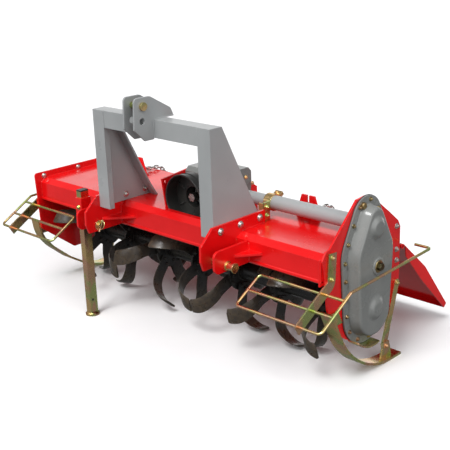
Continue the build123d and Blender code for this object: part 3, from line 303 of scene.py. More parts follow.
def machined_steel(name):
    """Machined steel with turning marks and a thin film of oil."""
    g = Graph(name, Metallic=1.0)
    rounded, mask = g.edge(0.0008)
    oil = g.spread(g.noise(40.0, 4.0), 0.35, 0.7)
    tone = g.mix(oil, (0.66, 0.65, 0.62), (0.46, 0.445, 0.415))
    tone = g.mix(g.part(0.6, mask), tone, (0.78, 0.77, 0.74))
    rough = g.spread(g.noise(180.0, 3.0), 0.3, 0.75, 0.2, 0.42)
    marks = g.noise(900.0, 2.0, 0.5, (0.3, 1.0, 0.3))
    return g.finish(tone, rough, g.bump(marks, 0.25, 0.00005, rounded))


bright_steel = machined_steel("bright_steel")


def rotor_paint_material(name, worn_share):
    """Black dip paint that gives way to brown-grey steel with the distance from the axis."""
    g = Graph(name, Specular_IOR_Level=0.5)
    rounded, mask = g.edge(0.0012)
    place = g.add("SeparateXYZ", Vector=g.place).outputs
    y = g.math("SUBTRACT", place["Y"], rotor_axis.y)
    z = g.math("SUBTRACT", place["Z"], rotor_axis.z)
    reach = g.math("SQRT", g.math("ADD", g.math("MULTIPLY", y, y), g.math("MULTIPLY", z, z)))
    reach = g.math("ADD", reach, g.part(0.05, g.noise(30.0, 4.0, 0.6)))
    black = g.mix(g.spread(g.noise(22.0, 4.0), 0.35, 0.7),
                  (0.012, 0.012, 0.012), (0.026, 0.023, 0.019))
    brown = g.mix(g.spread(g.noise(55.0, 5.0, 0.65), 0.35, 0.65),
                  (0.082, 0.060, 0.038), (0.045, 0.036, 0.028))
    tone = g.mix(g.part(worn_share, g.spread(reach, 0.10, 0.235)), black, brown)
    tone = g.mix(g.part(0.7, mask), tone, (0.16, 0.135, 0.105))
    rust = g.spread(g.noise(240.0, 4.0, 0.7), 0.58, 0.78)
    tone = g.mix(g.part(0.4, rust), tone, (0.13, 0.10, 0.07))
    rough = g.spread(g.noise(35.0, 4.0), 0.3, 0.7, 0.22, 0.44)
    return g.finish(tone, rough, g.bump(g.noise(160.0, 5.0, 0.6), 0.35, 0.0004, rounded))


rotor_paint = rotor_paint_material("rotor_paint", 0.05)
blade_steel = rotor_paint_material("blade_steel", 0.95)


def plastic(name, color, deep, gloss):
    """Moulded black plastic or rubber: fine grain, dull, with dusty scuffs."""
    g = Graph(name, Specular_IOR_Level=0.45)
    rounded, mask = g.edge(0.0012)
    tone = g.mix(g.spread(g.noise(18.0, 4.0), 0.4, 0.75), color, deep)
    tone = g.mix(g.part(0.3, mask), tone, (0.09, 0.088, 0.08))
    rough = g.spread(g.noise(26.0, 4.0, 0.6), 0.3, 0.7, gloss, gloss + 0.16)
    return g.finish(tone, rough, g.bump(g.noise(1100.0, 2.0), 0.15, 0.00012, rounded))


black_plastic = plastic("black_plastic", (0.028, 0.028, 0.026), (0.044, 0.044, 0.039), 0.26)
gasket_rubber = plastic("gasket_rubber", (0.012, 0.012, 0.012), (0.02, 0.02, 0.02), 0.5)

SLOT_MATERIALS = {
    "red_paint": red_paint,
    "grey_paint": grey_paint,
    "gold_zinc": gold_zinc,
    "black_paint": rotor_paint,
    "blade_steel": blade_steel,
    "black_plastic": black_plastic,
    "bright_steel": bright_steel,
}
NODE_MATERIALS = {      # nodes that look different from the rest of their slot
    "gear_case_cover": case_paint,
    "gear_case_flange": case_paint,
    "gearbox": case_paint,
    "oil_plug": dark_zinc,
}
for row in frame["record"]["subparts"]:
    material = NODE_MATERIALS.get(row["node"], SLOT_MATERIALS[row["material_slot"]])
    for place in frame["nodes"][row["node"]].material_slots:
        place.material = material


# ---- mesh helpers -------------------------------------------------------------------------------
def spokes(axis, count, turn=0.0):
    """Unit vectors at right angles to an axis, evenly turned about it."""
    first = axis.orthogonal().normalized()
    second = axis.cross(first)
    angles = [turn + math.tau * i / count for i in range(count)]
    return [first * math.cos(angle) + second * math.sin(angle) for angle in angles]


class Shape:
    """Vertices and faces that grow until they are made into one piece."""

    def __init__(self):
        self.points = []
        self.faces = []

    def rings(self, rings, closed=False, capped=True):
        """Joins rings of equal length into a skin."""
        start = len(self.points)
        size = len(rings[0])
        for ring in rings:
            self.points.extend(ring)
        count = len(rings)
        for i in range(count if closed else count - 1):
            a = start + i * size
            b = start + (i + 1) % count * size
            for j in range(size):
                k = (j + 1) % size
                self.faces.append((a + j, a + k, b + k, b + j))
        if capped and not closed:
            self.faces.append(tuple(start + j for j in reversed(range(size))))
            self.faces.append(tuple(start + (count - 1) * size + j for j in range(size)))

    def lathe(self, origin, axis, profile, sides=20, turn=0.0):
        """Turns (radius, height) pairs about an axis; profile runs from the base up."""
        origin, axis = Vector(origin), Vector(axis).normalized()
        around = spokes(axis, sides, turn)
        self.rings([[origin + axis * height + spoke * radius for spoke in around]
                    for radius, height in profile])

    def sweep(self, line, radius, sides=10, closed=False, wobble=0.0):
        """A round bar along a line; wobble makes it uneven, as a weld is."""
        line = [Vector(p) for p in line]
        count = len(line)
        normal = None
        rings = []
        for i, p in enumerate(line):
            before = line[i - 1] if i or closed else p
            after = line[(i + 1) % count] if i < count - 1 or closed else p
            along = (after - before).normalized()
            if normal is None:
                normal = along.orthogonal().normalized()
            normal = (normal - along * normal.dot(along)).normalized()
            other = along.cross(normal)
            size = radius * (1 + wobble * rng.uniform(-1, 1))
            angles = [math.tau * j / sides for j in range(sides)]
            rings.append([p + (normal * math.cos(angle) + other * math.sin(angle)) * size
                          for angle in angles])
        self.rings(rings, closed=closed)

    def make(self, name, material, body, smooth=35.0, merge=False):
        """Makes the piece, riding on a body unless that is None.

        Edges sharper than smooth stay sharp, and merge joins points that fall on each other.
        """
        mesh = bpy.data.meshes.new(name)
        mesh.from_pydata([tuple(p) for p in self.points], [], self.faces)
        if merge:
            built = bmesh.new()
            built.from_mesh(mesh)
            bmesh.ops.remove_doubles(built, verts=built.verts, dist=0.00005)
            bmesh.ops.dissolve_degenerate(built, edges=built.edges, dist=0.00005)
            bmesh.ops.recalc_face_normals(built, faces=built.faces)
            built.to_mesh(mesh)
            built.free()
        mesh.update()
        mesh.shade_smooth()
        mesh.set_sharp_from_angle(angle=math.radians(smooth))
        mesh.materials.append(material)
        piece = add_object(name, mesh)
        if body:
            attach(piece, body)
        return piece


def bolt(shape, place, axis, size, hexagon=True, washer=True):
    """A bolt's washer and its hexagon or domed head; size is its thread in millimetres."""
    place, axis = Vector(place), Vector(axis).normalized()
    r = size * MM
    base = -0.0006
    if washer:
        shape.lathe(place, axis, [(r * 1.25, base), (r * 1.25, 0.0012), (r * 1.18, 0.0017)])
        base = 0.0015
    if hexagon:
        head = [(r * 0.9, base), (r * 0.94, base + r * 0.1), (r * 0.94, base + r * 0.55),
                (r * 0.80, base + r * 0.68)]
        shape.lathe(place, axis, head, 6, rng.uniform(0, 1))
        end = [(r * 0.5, base + r * 0.6), (r * 0.5, base + r * 1.0), (r * 0.42, base + r * 1.08)]
        shape.lathe(place, axis, end, 12)
    else:
        dome = [(r * 1.08, base), (r * 1.06, base + r * 0.18), (r * 0.88, base + r * 0.42),
                (r * 0.55, base + r * 0.58), (r * 0.2, base + r * 0.64)]
        shape.lathe(place, axis, dome)


def bolt_circle(shape, centre, facing, radius, size, start, count=6):
    """Bolts in a circle on a face that looks along X, the first a share of a gap past +Y."""
    x, y, z = centre
    for i in range(count):
        turn = math.tau * (i + start) / count
        place = (x, y + radius * math.cos(turn), z + radius * math.sin(turn))
        bolt(shape, place, (facing, 0, 0), size)


def weld(shape, start, end, radius):
    """An uneven bead between two points; its radius is in millimetres."""
    start, end = Vector(start), Vector(end)
    steps = max(3, int((end - start).length / 0.006))
    line = [start.lerp(end, i / steps) for i in range(steps + 1)]
    shape.sweep(line, radius * MM, 8, wobble=0.16)


def ring(shape, centre, axis, radius, wire, sides=8, count=28):
    """A round wire ring about an axis."""
    centre = Vector(centre)
    line = [centre + spoke * radius for spoke in spokes(Vector(axis).normalized(), count)]
    shape.sweep(line, wire, sides, closed=True)


def outer_face(node, side):
    """X of a node's outer face, on the left (-1) or right (1) side of the machine."""
    low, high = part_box(node)
    return high.x if side > 0 else low.x


# ---- side gear case: its outline ----------------------------------------------------------------
CASE_CIRCLES = (            # Y, Z, radius
    (AXLE_Y, 0.028, 0.085), (AXLE_Y, -0.108, 0.147), (AXLE_Y, -0.325, 0.133))
STRAIGHT_STEPS = 24         # points along each straight side of the outline
flange_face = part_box("gear_case_flange")[1].x
cover_low, cover_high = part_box("gear_case_cover")


def case_outline(shrink, count=120):
    """(Y, Z) around the hull of the case's circles, all smaller by shrink."""
    found = []
    last = None
    for i in range(count + 1):
        angle = math.tau * i / count
        out = Vector((math.cos(angle), math.sin(angle)))
        circle = max(CASE_CIRCLES, key=lambda c: c[0] * out.x + c[1] * out.y + c[2])
        y, z, r = circle
        here = Vector((y + (r - shrink) * out.x, z + (r - shrink) * out.y))
        if last is not None and circle != last:
            before = Vector(found[-1])
            found += [tuple(before.lerp(here, step / STRAIGHT_STEPS))
                      for step in range(1, STRAIGHT_STEPS)]
        found.append(tuple(here))
        last = circle
    return found[:-1]


def case_points(shrink, spacing):
    """Evenly spaced places along the case's outline."""
    line = case_outline(shrink, 720)
    lengths = [math.dist(line[i], line[i - 1]) for i in range(len(line))]
    wanted = round(sum(lengths) / spacing)
    step, gone, places = sum(lengths) / wanted, 0.0, []
    for i, length in enumerate(lengths):
        (y0, z0), (y1, z1) = line[i - 1], line[i]
        while len(places) < wanted and gone + length >= step * (len(places) + 0.5):
            t = (step * (len(places) + 0.5) - gone) / length
            places.append((y0 + t * (y1 - y0), z0 + t * (z1 - z0)))
        gone += length
    return places


# ---- side gear case: the cast cover, with drafted walls, a rounded shoulder and raised bulges ---
COVER_DROP = 0.0058         # the flat face, below the node's own
BULGES = (                  # Y, Z, radius, rise
    (AXLE_Y, 0.000, 0.047, 0.012),
    (AXLE_Y, -0.311, 0.050, 0.013),
    (PLUG_Y, PLUG_Z, 0.034, 0.0058),
)
COVER_ROWS = (              # distance inside the outline, X from the face
    (0.0385, -0.016), (0.0400, -0.011), (0.0425, -0.0078), (0.0465, -0.006), (0.0500, -COVER_DROP))
SPINE_Z = (-0.320, 0.010)   # the line that the face's rings close on
FACE_RINGS = 32
RING_COUNT = 160            # points around each ring, but for the straight sides


def bulge(y, z):
    """Height of the bulges above the flat face, at a place on it."""
    height = 0.0
    for by, bz, radius, rise in BULGES:
        t = min(1.0, math.hypot(y - by, z - bz) / radius)
        s = min(1.0, (1 - t) / 0.5)
        height = max(height, rise * s * s * (3 - 2 * s))
    return height


cover = Shape()
cover_rows = [(0.0295, cover_low.x), (0.0300, cover_low.x + 0.004), (0.0325, cover_low.x + 0.006)]
cover_rows += [(shrink, cover_high.x + down) for shrink, down in COVER_ROWS]
cover_rings = [[Vector((x, y, z)) for y, z in case_outline(shrink, RING_COUNT)]
               for shrink, x in cover_rows]
shoulder = cover_rings[-1]
for step in range(1, FACE_RINGS + 1):
    face_ring = []
    for p in shoulder:
        spine = Vector((p.x, AXLE_Y, min(max(p.z, SPINE_Z[0]), SPINE_Z[1])))
        q = p.lerp(spine, step / FACE_RINGS)
        q.x = cover_high.x - COVER_DROP + bulge(q.y, q.z)
        face_ring.append(q)
    cover_rings.append(face_ring)
cover.rings(cover_rings, capped=False)
made = cover.make("case_cover_cast", case_paint, "frame", 50.0, merge=True)
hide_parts("gear_case_cover")

# ---- side gear case: bolts, boss round the plug, gasket -----------------------------------------
CASE_BOLTS_IN = 0.0155      # from the outline to the bolts' middles
CASE_BOLTS_GAP = 0.068
plug_place = (cover_high.x, PLUG_Y, PLUG_Z)
case_bolts = Shape()
for y, z in case_points(CASE_BOLTS_IN, CASE_BOLTS_GAP):
    bolt(case_bolts, (flange_face, y, z), RIGHT, 7.0)
case_bolts.lathe(plug_place, RIGHT, [(0.024, -0.016), (0.024, -0.0005), (0.022, 0.0012)], 30)
case_bolts.lathe((flange_face - 0.004, 0.120, 0.082), RIGHT,
                 [(0.013, 0), (0.013, 0.012), (0.010, 0.015)])
case_bolts.make("gear_case_bolts", brown_zinc, "frame")

plug_boss = Shape()
plug_boss.lathe(plug_place, RIGHT, [(0.0335, -0.0120), (0.0330, -0.0030), (0.0318, -0.0016),
                                    (0.0295, -0.0010), (0.0200, -0.0010)], 48)
plug_boss.make("case_plug_boss", case_paint, "frame")

gasket = Shape()
gasket.rings([[Vector((right_plate_high.x + x, y, z)) for y, z in case_outline(-out)]
              for x, out in ((-0.0005, -0.004), (-0.0005, 0.0012), (0.0022, 0.0012),
                             (0.0022, -0.004))], closed=True)
gasket.make("gear_case_gasket", gasket_rubber, "frame")

# ---- bright bolts of the linkage, the side plates and the left bearing --------------------------
POST_BOLTS = ((-0.182, -0.024), (-0.076, -0.024), (0.032, -0.024))         # Y, Z, as below
POST_INNER_X = 0.324        # the mast post's face behind those bolts
LEFT_THROUGH_BOLTS = ((-0.081, -0.041), (0.117, -0.041), (0.300, -0.041))
LEFT_REAR_BOLTS = ((0.345, -0.090), (0.345, -0.255))
RIGHT_REAR_BOLTS = ((0.350, -0.056), (0.352, -0.150), (0.354, -0.194))
bolts = Shape()
for side in (-1, 1):
    for y, z in POST_BOLTS:
        bolt(bolts, (HITCH_PLATE_X[1] * side, y, z), (side, 0, 0), 12.0, hexagon=False)
        bolt(bolts, (POST_INNER_X * side, y, z), (-side, 0, 0), 11.0)
for y, z in LEFT_THROUGH_BOLTS:
    bolt(bolts, (left_plate_high.x, y, z), (1, 0, 0), 10.0, hexagon=False)
    bolt(bolts, (left_plate_low.x, y, z), (-1, 0, 0), 9.0)
for y, z in RIGHT_REAR_BOLTS:
    bolt(bolts, (right_plate_high.x, y, z), (1, 0, 0), 9.0)
for y, z in LEFT_REAR_BOLTS:
    bolt(bolts, (left_plate_low.x, y, z), (-1, 0, 0), 9.0)
bearing_low, bearing_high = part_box("rotor_bearing_left")
bearing_mid = (bearing_low + bearing_high) / 2
bolt_circle(bolts, (bearing_high.x - 0.012, bearing_mid.y, bearing_mid.z), -1, 0.059, 7.5, 0.25)
bolts.make("frame_bolts", bright_steel, "frame")

# ---- zinc bolts of the skids, guards, clamp, stand and gearbox flange ---------------------------
SIDE_BOLTS = (              # side, its front lug's bolt, and its guard bar's bolts, in Y and Z
    ("left", -1, (-0.098, -0.292), ((-0.085, -0.054), (-0.091, -0.134))),
    ("right", 1, (-0.054, -0.305), ((-0.049, -0.068), (-0.055, -0.148))),
)
STRUT_TOP = (0.352, -0.285)
STRUT_FOOT = (0.278, -0.524)
CLAMP_X = 0.300
CLAMP_EARS = ((0.1873, 0.0246), (0.1127, -0.0186))
CLAMP_OUT = Vector((0, -0.5, 0.866))        # across the clamp's split
EAR_HALF = 0.008
fixings = Shape()
for label, side, lug, bar_bolts in SIDE_BOLTS:
    strut = outer_face("skid_strut_" + label, side)
    bar = outer_face("guard_bar_" + label, side)
    for y, z in bar_bolts:
        bolt(fixings, (bar, y, z), (side, 0, 0), 9.0)
    bolt(fixings, (strut, *STRUT_TOP), (side, 0, 0), 8.5)
    bolt(fixings, (strut + 0.008 * side, *STRUT_FOOT), (side, 0, 0), 8.5)
    bolt(fixings, (strut - 0.008 * side, *STRUT_FOOT), (-side, 0, 0), 7.5)
    bolt(fixings, (strut, *lug), (side, 0, 0), 8.5)
for y, z in CLAMP_EARS:
    centre = Vector((CLAMP_X, y, z))
    bolt(fixings, centre + CLAMP_OUT * EAR_HALF, CLAMP_OUT, 8.0)
    bolt(fixings, centre - CLAMP_OUT * EAR_HALF, -CLAMP_OUT, 7.0)
for z in (-0.028, 0.006):           # the clamp's bracket
    bolt(fixings, (0.337, 0.080, z), (1, 0, 0), 8.0)
bolt(fixings, (STAND_X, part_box("stand_sleeve")[0].y, -0.078), (0, -1, 0), 8.0)
bolt_circle(fixings, (0.154, AXLE_Y, AXLE_Z), 1, 0.049, 7.0, 0.3)
fixings.make("zinc_fixings", gold_zinc, "frame")

# ---- linchpins at the pins' ends ----------------------------------------------------------------
LINCHPINS = (       # place, the side that its washer is on, the pin's radius
    ((-0.321, -0.223, -0.128), -1, 0.014),
    ((0.321, -0.223, -0.128), 1, 0.014),
    ((-0.043, -0.257, 0.418), 1, 0.0125),
)
LEAN = Vector((0, 0.42, 0.91))
linchpins = Shape()
for centre, side, size in LINCHPINS:
    x, y, z = centre
    centre = Vector(centre)
    linchpins.sweep([centre - LEAN * (size + 0.012), centre, centre + LEAN * (size + 0.006)],
                    0.0038, 12)
    linchpins.lathe(centre + LEAN * (size + 0.001), LEAN,
                    [(0.0068, 0), (0.0075, 0.003), (0.0075, 0.008), (0.005, 0.011)])
    ring(linchpins, centre + LEAN * 0.004, LEAN.cross(RIGHT), size + 0.006, 0.0017)
    linchpins.lathe((x + 0.006 * side, y, z), (side, 0, 0),
                    [(size + 0.0005, 0), (size + 0.009, 0.0004), (size + 0.009, 0.0026),
                     (size + 0.0005, 0.003)], 24)
linchpins.make("linchpins", gold_zinc, "frame")

# ---- stand: the weld round its foot, and a black disc of painted shade for its lock pin's free hole ---
STAND_HALF = 0.015          # half the tube's width along X
stand_low, stand_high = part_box("stand_tube")
stand_mid = (stand_low + stand_high) / 2
foot_weld = Shape()
foot_weld.lathe((STAND_X, stand_mid.y, stand_low.z + 0.0081), UP,
                [(0.027, 0.0), (0.023, 0.003), (0.022, 0.004)], 28)
foot_weld.make("stand_foot_weld", gold_zinc, "stand")
# a flat black disc on the tube: painted shade standing in for the dark inside of the hole
hole_shade_disc = Shape()
hole_shade_disc.lathe((STAND_X + STAND_HALF, stand_mid.y - 0.004, -0.508), RIGHT,
                [(0.0058, -0.001), (0.0058, 0.0001), (0.0048, 0.0002)], 24)
hole_shade_disc.make("stand_hole_shade_disc", black_plastic, "stand")

# ---- blades: strips bent from shank to tip, with a ground leading edge and a square end ---------
BLADE_TURNS = (114.0, 96.0, 18.0, 108.0, 48.0, 42.0, 108.0)     # degrees, each flange's first blade
FLANGE_START = -0.7535
FLANGE_PITCH = 0.222
BLADES_PER_FLANGE = 6
BLADE_SEAT = 0.0125         # from a flange's middle to the shank's far face
BLADE_FOOT = 0.052          # the shank's inner end, from the rotor's axis
BEND_START = 0.097          # along the strip, from its foot
BEND_R = 0.084
STRIP_HALF = 0.004          # half the strip's thickness
STRIP_END = 0.245
STRIP_CORNER = 0.007        # radius of the square end's corners
BLADE_EDGES = (             # along the strip, and its leading and trailing edges across it
    (0.000, 0.029, -0.029), (0.078, 0.027, -0.033), (0.097, 0.023, -0.037), (0.141, 0.013, -0.056),
    (0.185, -0.004, -0.076), (0.229, -0.018, -0.086), (0.245, -0.023, -0.088))
FLANGES = [                 # X, and each blade's hand and turn
    (FLANGE_START + FLANGE_PITCH * number,
     [(1 if i % 2 == 0 else -1, math.radians(first + 360.0 / BLADES_PER_FLANGE * i))
      for i in range(BLADES_PER_FLANGE)])
    for number, first in enumerate(BLADE_TURNS)]


def blade_axes(turn):
    """The ways out from the rotor's axis and along its turn, for a blade at this turn."""
    return (Vector((0, -math.sin(turn), math.cos(turn))),
            Vector((0, math.cos(turn), math.sin(turn))))


def strip_place(gone):
    """The strip's middle in a blade's own X and Z, and the way its outer face looks."""
    if gone <= BEND_START:
        return -STRIP_HALF, BLADE_FOOT + gone, -1.0, 0.0
    angle = min((gone - BEND_START) / BEND_R, math.pi / 2)
    beyond = gone - BEND_START - angle * BEND_R
    return (BEND_R - STRIP_HALF - BEND_R * math.cos(angle) + beyond,
            BLADE_FOOT + BEND_START + BEND_R * math.sin(angle),
            -math.cos(angle), math.sin(angle))


def blade_edge(gone, column):
    """The leading (1) or trailing (2) edge's place across the strip, smooth between its rows."""
    rows = [BLADE_EDGES[0]] + list(BLADE_EDGES) + [BLADE_EDGES[-1]]
    i = next((i for i in range(1, len(rows) - 3) if gone <= rows[i + 1][0]), len(rows) - 3)
    before, low, high, after = rows[i - 1:i + 3]
    width = high[0] - low[0]
    t = (gone - low[0]) / width
    rise_low = (high[column] - before[column]) / (high[0] - before[0]) * width
    rise_high = (after[column] - low[column]) / (after[0] - low[0]) * width
    return ((2 * t ** 3 - 3 * t ** 2 + 1) * low[column] + (t ** 3 - 2 * t ** 2 + t) * rise_low
            + (3 * t ** 2 - 2 * t ** 3) * high[column] + (t ** 3 - t ** 2) * rise_high)


def blade(shape, x, hand, turn):
    """One blade on a flange at x, bent to the hand's side and turned about the rotor's axis."""
    out, along = blade_axes(turn)
    arc = BEND_R * math.pi / 2
    steps = [0.0, 0.03, 0.06, 0.08, BEND_START]
    steps += [BEND_START + arc * i / 14 for i in range(1, 15)]
    steps += [STRIP_END - STRIP_CORNER * (1 - math.sin(math.pi / 2 * i / 6)) for i in range(7)]
    rings = []
    for gone in steps:
        middle_x, middle_z, facing_x, facing_z = strip_place(gone)
        over = max(0.0, gone - (STRIP_END - STRIP_CORNER)) / STRIP_CORNER
        inset = STRIP_CORNER * (1 - math.sqrt(max(0.0, 1 - over * over)))
        lead, trail = blade_edge(gone, 1) - inset, blade_edge(gone, 2) + inset
        middle = (lead + trail) / 2
        section = (         # across the strip, and out from its middle
            (lead, -0.0034), (lead, -0.0020), (lead - 0.013, 0.0040), (middle, 0.0040),
            (trail + 0.0012, 0.0040), (trail, 0.0028), (trail, -0.0028),
            (trail + 0.0012, -0.0040), (middle, -0.0040), (lead - 0.0008, -0.0040))
        points = []
        for aside, outward in section:
            reach = hand * (BLADE_SEAT + (middle_x + facing_x * outward))
            place = Vector((x + reach, rotor_axis.y, rotor_axis.z))
            points.append(place + out * (middle_z + facing_z * outward) + along * aside)
        rings.append(points if hand > 0 else points[::-1])
    shape.rings(rings)


for number, (x, blades_here) in enumerate(FLANGES, start=1):
    blades = Shape()
    for hand, turn in blades_here:
        blade(blades, x, hand, turn)
    made = blades.make("blades_%d" % number, blade_steel, "rotor", 28.0)
    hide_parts("blade_set_%d" % number)

# ---- rotor: blade bolts, end seals and the flanges' welds ---------------------------------------
blade_bolts = Shape()
for x, blades_here in FLANGES:
    for hand, turn in blades_here:
        out, along = blade_axes(turn)
        for reach, aside in ((0.062, 0.012), (0.076, -0.013)):
            _, y, z = rotor_axis + out * reach + along * aside
            bolt(blade_bolts, (x + hand * BLADE_SEAT, y, z), (hand, 0, 0), 8.0, washer=False)
            bolt(blade_bolts, (x - hand * 0.0045, y, z), (-hand, 0, 0), 7.0)
blade_bolts.make("blade_bolts", rotor_paint, "rotor")

rotor_trim = Shape()
for x, facing in ((-0.907, 1), (0.732, -1)):
    rotor_trim.lathe((x, rotor_axis.y, rotor_axis.z), (facing, 0, 0),
                     [(0.030, -0.004), (0.056, -0.004), (0.058, 0.000), (0.058, 0.012),
                      (0.050, 0.016), (0.037, 0.017)], 36)
for x, _ in FLANGES:
    for side in (-1, 1):
        place = (x + side * 0.0055, rotor_axis.y, rotor_axis.z)
        ring(rotor_trim, place, RIGHT, 0.0385, 0.0035, 6, 36)
rotor_trim.make("rotor_seals_and_welds", rotor_paint, "rotor")

# ---- welds, in the colour of what they join -----------------------------------------------------
WELD_LIFT = 0.001           # a bead's middle, from the faces it joins
TUBE_END_X = 0.267          # where the cross tube meets the mast posts
EAR_X = (0.0250, 0.0330)    # faces of a top link ear
tube_low, tube_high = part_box("mast_cross_tube")
grey_welds = Shape()
for side in (-1, 1):
    x, front = TUBE_END_X * side, tube_low.y - 0.0002
    weld(grey_welds, (x, front, tube_low.z), (x, front, tube_high.z - 0.002), 2.4)
    weld(grey_welds, (x, tube_low.y, tube_low.z), (x, tube_high.y, tube_low.z), 2.4)
    front, over = tube_low.y - WELD_LIFT, tube_high.z + WELD_LIFT
    for ear in EAR_X:
        x = ear * side
        weld(grey_welds, (x, front, tube_low.z), (x, front, tube_high.z), 2.6)
        weld(grey_welds, (x, tube_low.y, over), (x, -0.106, over), 2.6)
grey_welds.make("mast_welds", grey_paint, "frame")

GUSSET_Z = -0.102           # top of the gussets between the hood and the linkage plates
GUSSETS = (                 # X of the plate's face, X of the end along the hood, Y of the end ahead
    (CLEVIS_PLATE_X[1], 0.468, -0.180), (HITCH_PLATE_X[0], 0.242, -0.204))
front, over = hood_front - WELD_LIFT, hood_top + WELD_LIFT
red_welds = Shape()
for side in (-1, 1):
    for x in HITCH_PLATE_X + CLEVIS_PLATE_X:
        upper = -0.068 if x in HITCH_PLATE_X else -0.072
        weld(red_welds, (x * side, front, -0.148), (x * side, front, upper), 3.4)
    for x in HITCH_PLATE_X:
        weld(red_welds, (x * side, -0.070, over), (x * side, 0.058, over), 3.4)
    for x, far_x, ahead in GUSSETS:
        x *= side
        weld(red_welds, (x, front, GUSSET_Z), (far_x * side, front, GUSSET_Z), 3.2)
        weld(red_welds, (x, ahead, GUSSET_Z), (x, hood_front, GUSSET_Z), 3.2)
    for x in (0.110, 0.118):
        weld(red_welds, (x * side, -0.038, over), (x * side, 0.262, over), 2.8)
for x in CHAIN_X.values():
    for y in (0.224, 0.232):
        for near, far in ((-0.060, -0.012), (0.012, 0.060)):
            weld(red_welds, (x + near, y, over), (x + far, y, over), 2.8)
for x in (hood_low.x, hood_high.x):
    weld(red_welds, (x, -0.070, hood_top), (x, 0.340, hood_top), 2.8)
    weld(red_welds, (x, hood_front, -0.150), (x, hood_front, -0.069), 2.8)
    weld(red_welds, (x, hood_front, -0.068), (x, hood_front + 0.028, hood_top), 2.8)
red_welds.make("frame_welds", red_paint, "frame")

# ---- hood: rolled hem along the front, and the strip folded over its right end ------------------
HEM = (                     # Y from the hood's front, Z
    (0.0010, -0.1385), (-0.0010, -0.1400), (-0.0022, -0.1425), (-0.0026, -0.1460),
    (-0.0022, -0.1505), (0.0005, -0.1535), (0.0040, -0.1515))
hem = Shape()
hem.rings([[Vector((x, hood_front + y, z)) for y, z in HEM] for x in (hood_low.x, hood_high.x)])
hem.make("hood_hem", red_paint, "frame")

STRIP_FRONT, STRIP_BACK = hood_front - 0.0042, hood_front + 0.022
STRIP_TOP, STRIP_FOOT = -0.0655, -0.1640
end_strip = Shape()
end_strip.rings([
    [Vector((hood_high.x + x, STRIP_FRONT + inset, STRIP_TOP - inset)),
     Vector((hood_high.x + x, STRIP_BACK - inset, STRIP_TOP - inset)),
     Vector((hood_high.x + x, STRIP_BACK - inset, STRIP_FOOT + inset)),
     Vector((hood_high.x + x, STRIP_FRONT + inset, STRIP_FOOT + inset))]
    for x, inset in ((-0.0075, 0.0015), (-0.0060, 0.0), (0.0, 0.0))])
end_strip.make("hood_end_strip", red_paint, "frame")

# ---- input shaft: the guard's rolled rim, ribs and screws, and the shaft's collar ---------------
GUARD_RIM_R = 0.1025
guard_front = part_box("pto_guard")[0].y
guard_trim = Shape()
ring(guard_trim, (0, guard_front, 0), (0, 1, 0), GUARD_RIM_R, 0.0032, 10, 72)
ring(guard_trim, (0, guard_front + 0.030, 0), (0, 1, 0), GUARD_RIM_R + 0.0015, 0.0012, 6, 72)
rib_middle = Vector((0, GUARD_WALL_Y - 0.0002, 0))
for i in range(6):
    turn = math.tau * (i + 0.5) / 6
    spoke = Vector((math.cos(turn), 0, math.sin(turn)))
    guard_trim.sweep([spoke * 0.052 + rib_middle, spoke * 0.098 + rib_middle], 0.0030, 8)
    place = spoke * 0.075 + Vector((0, GUARD_WALL_Y, 0))
    bolt(guard_trim, place, (0, -1, 0), 5.0, hexagon=False)
guard_trim.make("input_guard_trim", black_plastic, "frame")

collar = Shape()
collar.lathe((0, 0.0460, 0), (0, -1, 0),
             [(0.0195, 0.0), (0.0205, 0.001), (0.0205, 0.004), (0.0185, 0.006)], 32)
collar.lathe((0, 0.0005, 0), (0, -1, 0),
             [(0.0100, 0.0), (0.0100, 0.0004), (0.0040, 0.0004), (0.0015, -0.0020)], 24)
collar.make("input_shaft_collar", bright_steel, "pto_shaft")

# ---- gearbox: top cover, cast ribs at the rear, cover bolts and breather ------------------------
GEARBOX_Y = 0.1575
COVER_HALF_X, COVER_HALF_Y = 0.078, 0.052
COVER_CORNERS = ((-1, -0.7), (-0.75, -1), (0.75, -1), (1, -0.7),
                 (1, 0.7), (0.75, 1), (-0.75, 1), (-1, 0.7))
COVER_STEPS = (             # inset, Z above the gearbox
    (0.0, -0.001), (0.0, 0.005), (0.002, 0.007), (0.024, 0.0075), (0.030, 0.011), (0.034, 0.012))
gearbox_low, gearbox_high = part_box("gearbox")
gearbox_top = gearbox_high.z
cast = Shape()
cast.rings([[Vector((x * (COVER_HALF_X - inset), GEARBOX_Y + y * (COVER_HALF_Y - inset),
                     gearbox_top + z)) for x, y in COVER_CORNERS]
            for inset, z in COVER_STEPS])
for x in (-0.085, -0.030, 0.030, 0.085):
    cast.sweep([(x, 0.240, gearbox_low.z + 0.020), (x, 0.2415, 0.020),
                (x, 0.236, gearbox_top - 0.016)], 0.0055, 8)
cast.make("gearbox_cover_and_ribs", case_paint, "frame")

cover_bolts = Shape()
for x in (-0.062, 0.0, 0.062):
    for y in (-0.043, 0.043):
        place = (x, GEARBOX_Y + y * (1.0 if x == 0 else 0.88), gearbox_top + 0.0065)
        bolt(cover_bolts, place, UP, 6.5)
cover_bolts.lathe((0.020, GEARBOX_Y, gearbox_top + 0.010), UP,
                  [(0.010, 0), (0.010, 0.010), (0.013, 0.011), (0.013, 0.018), (0.009, 0.021)])
cover_bolts.make("gearbox_bolts_and_breather", gold_zinc, "frame")

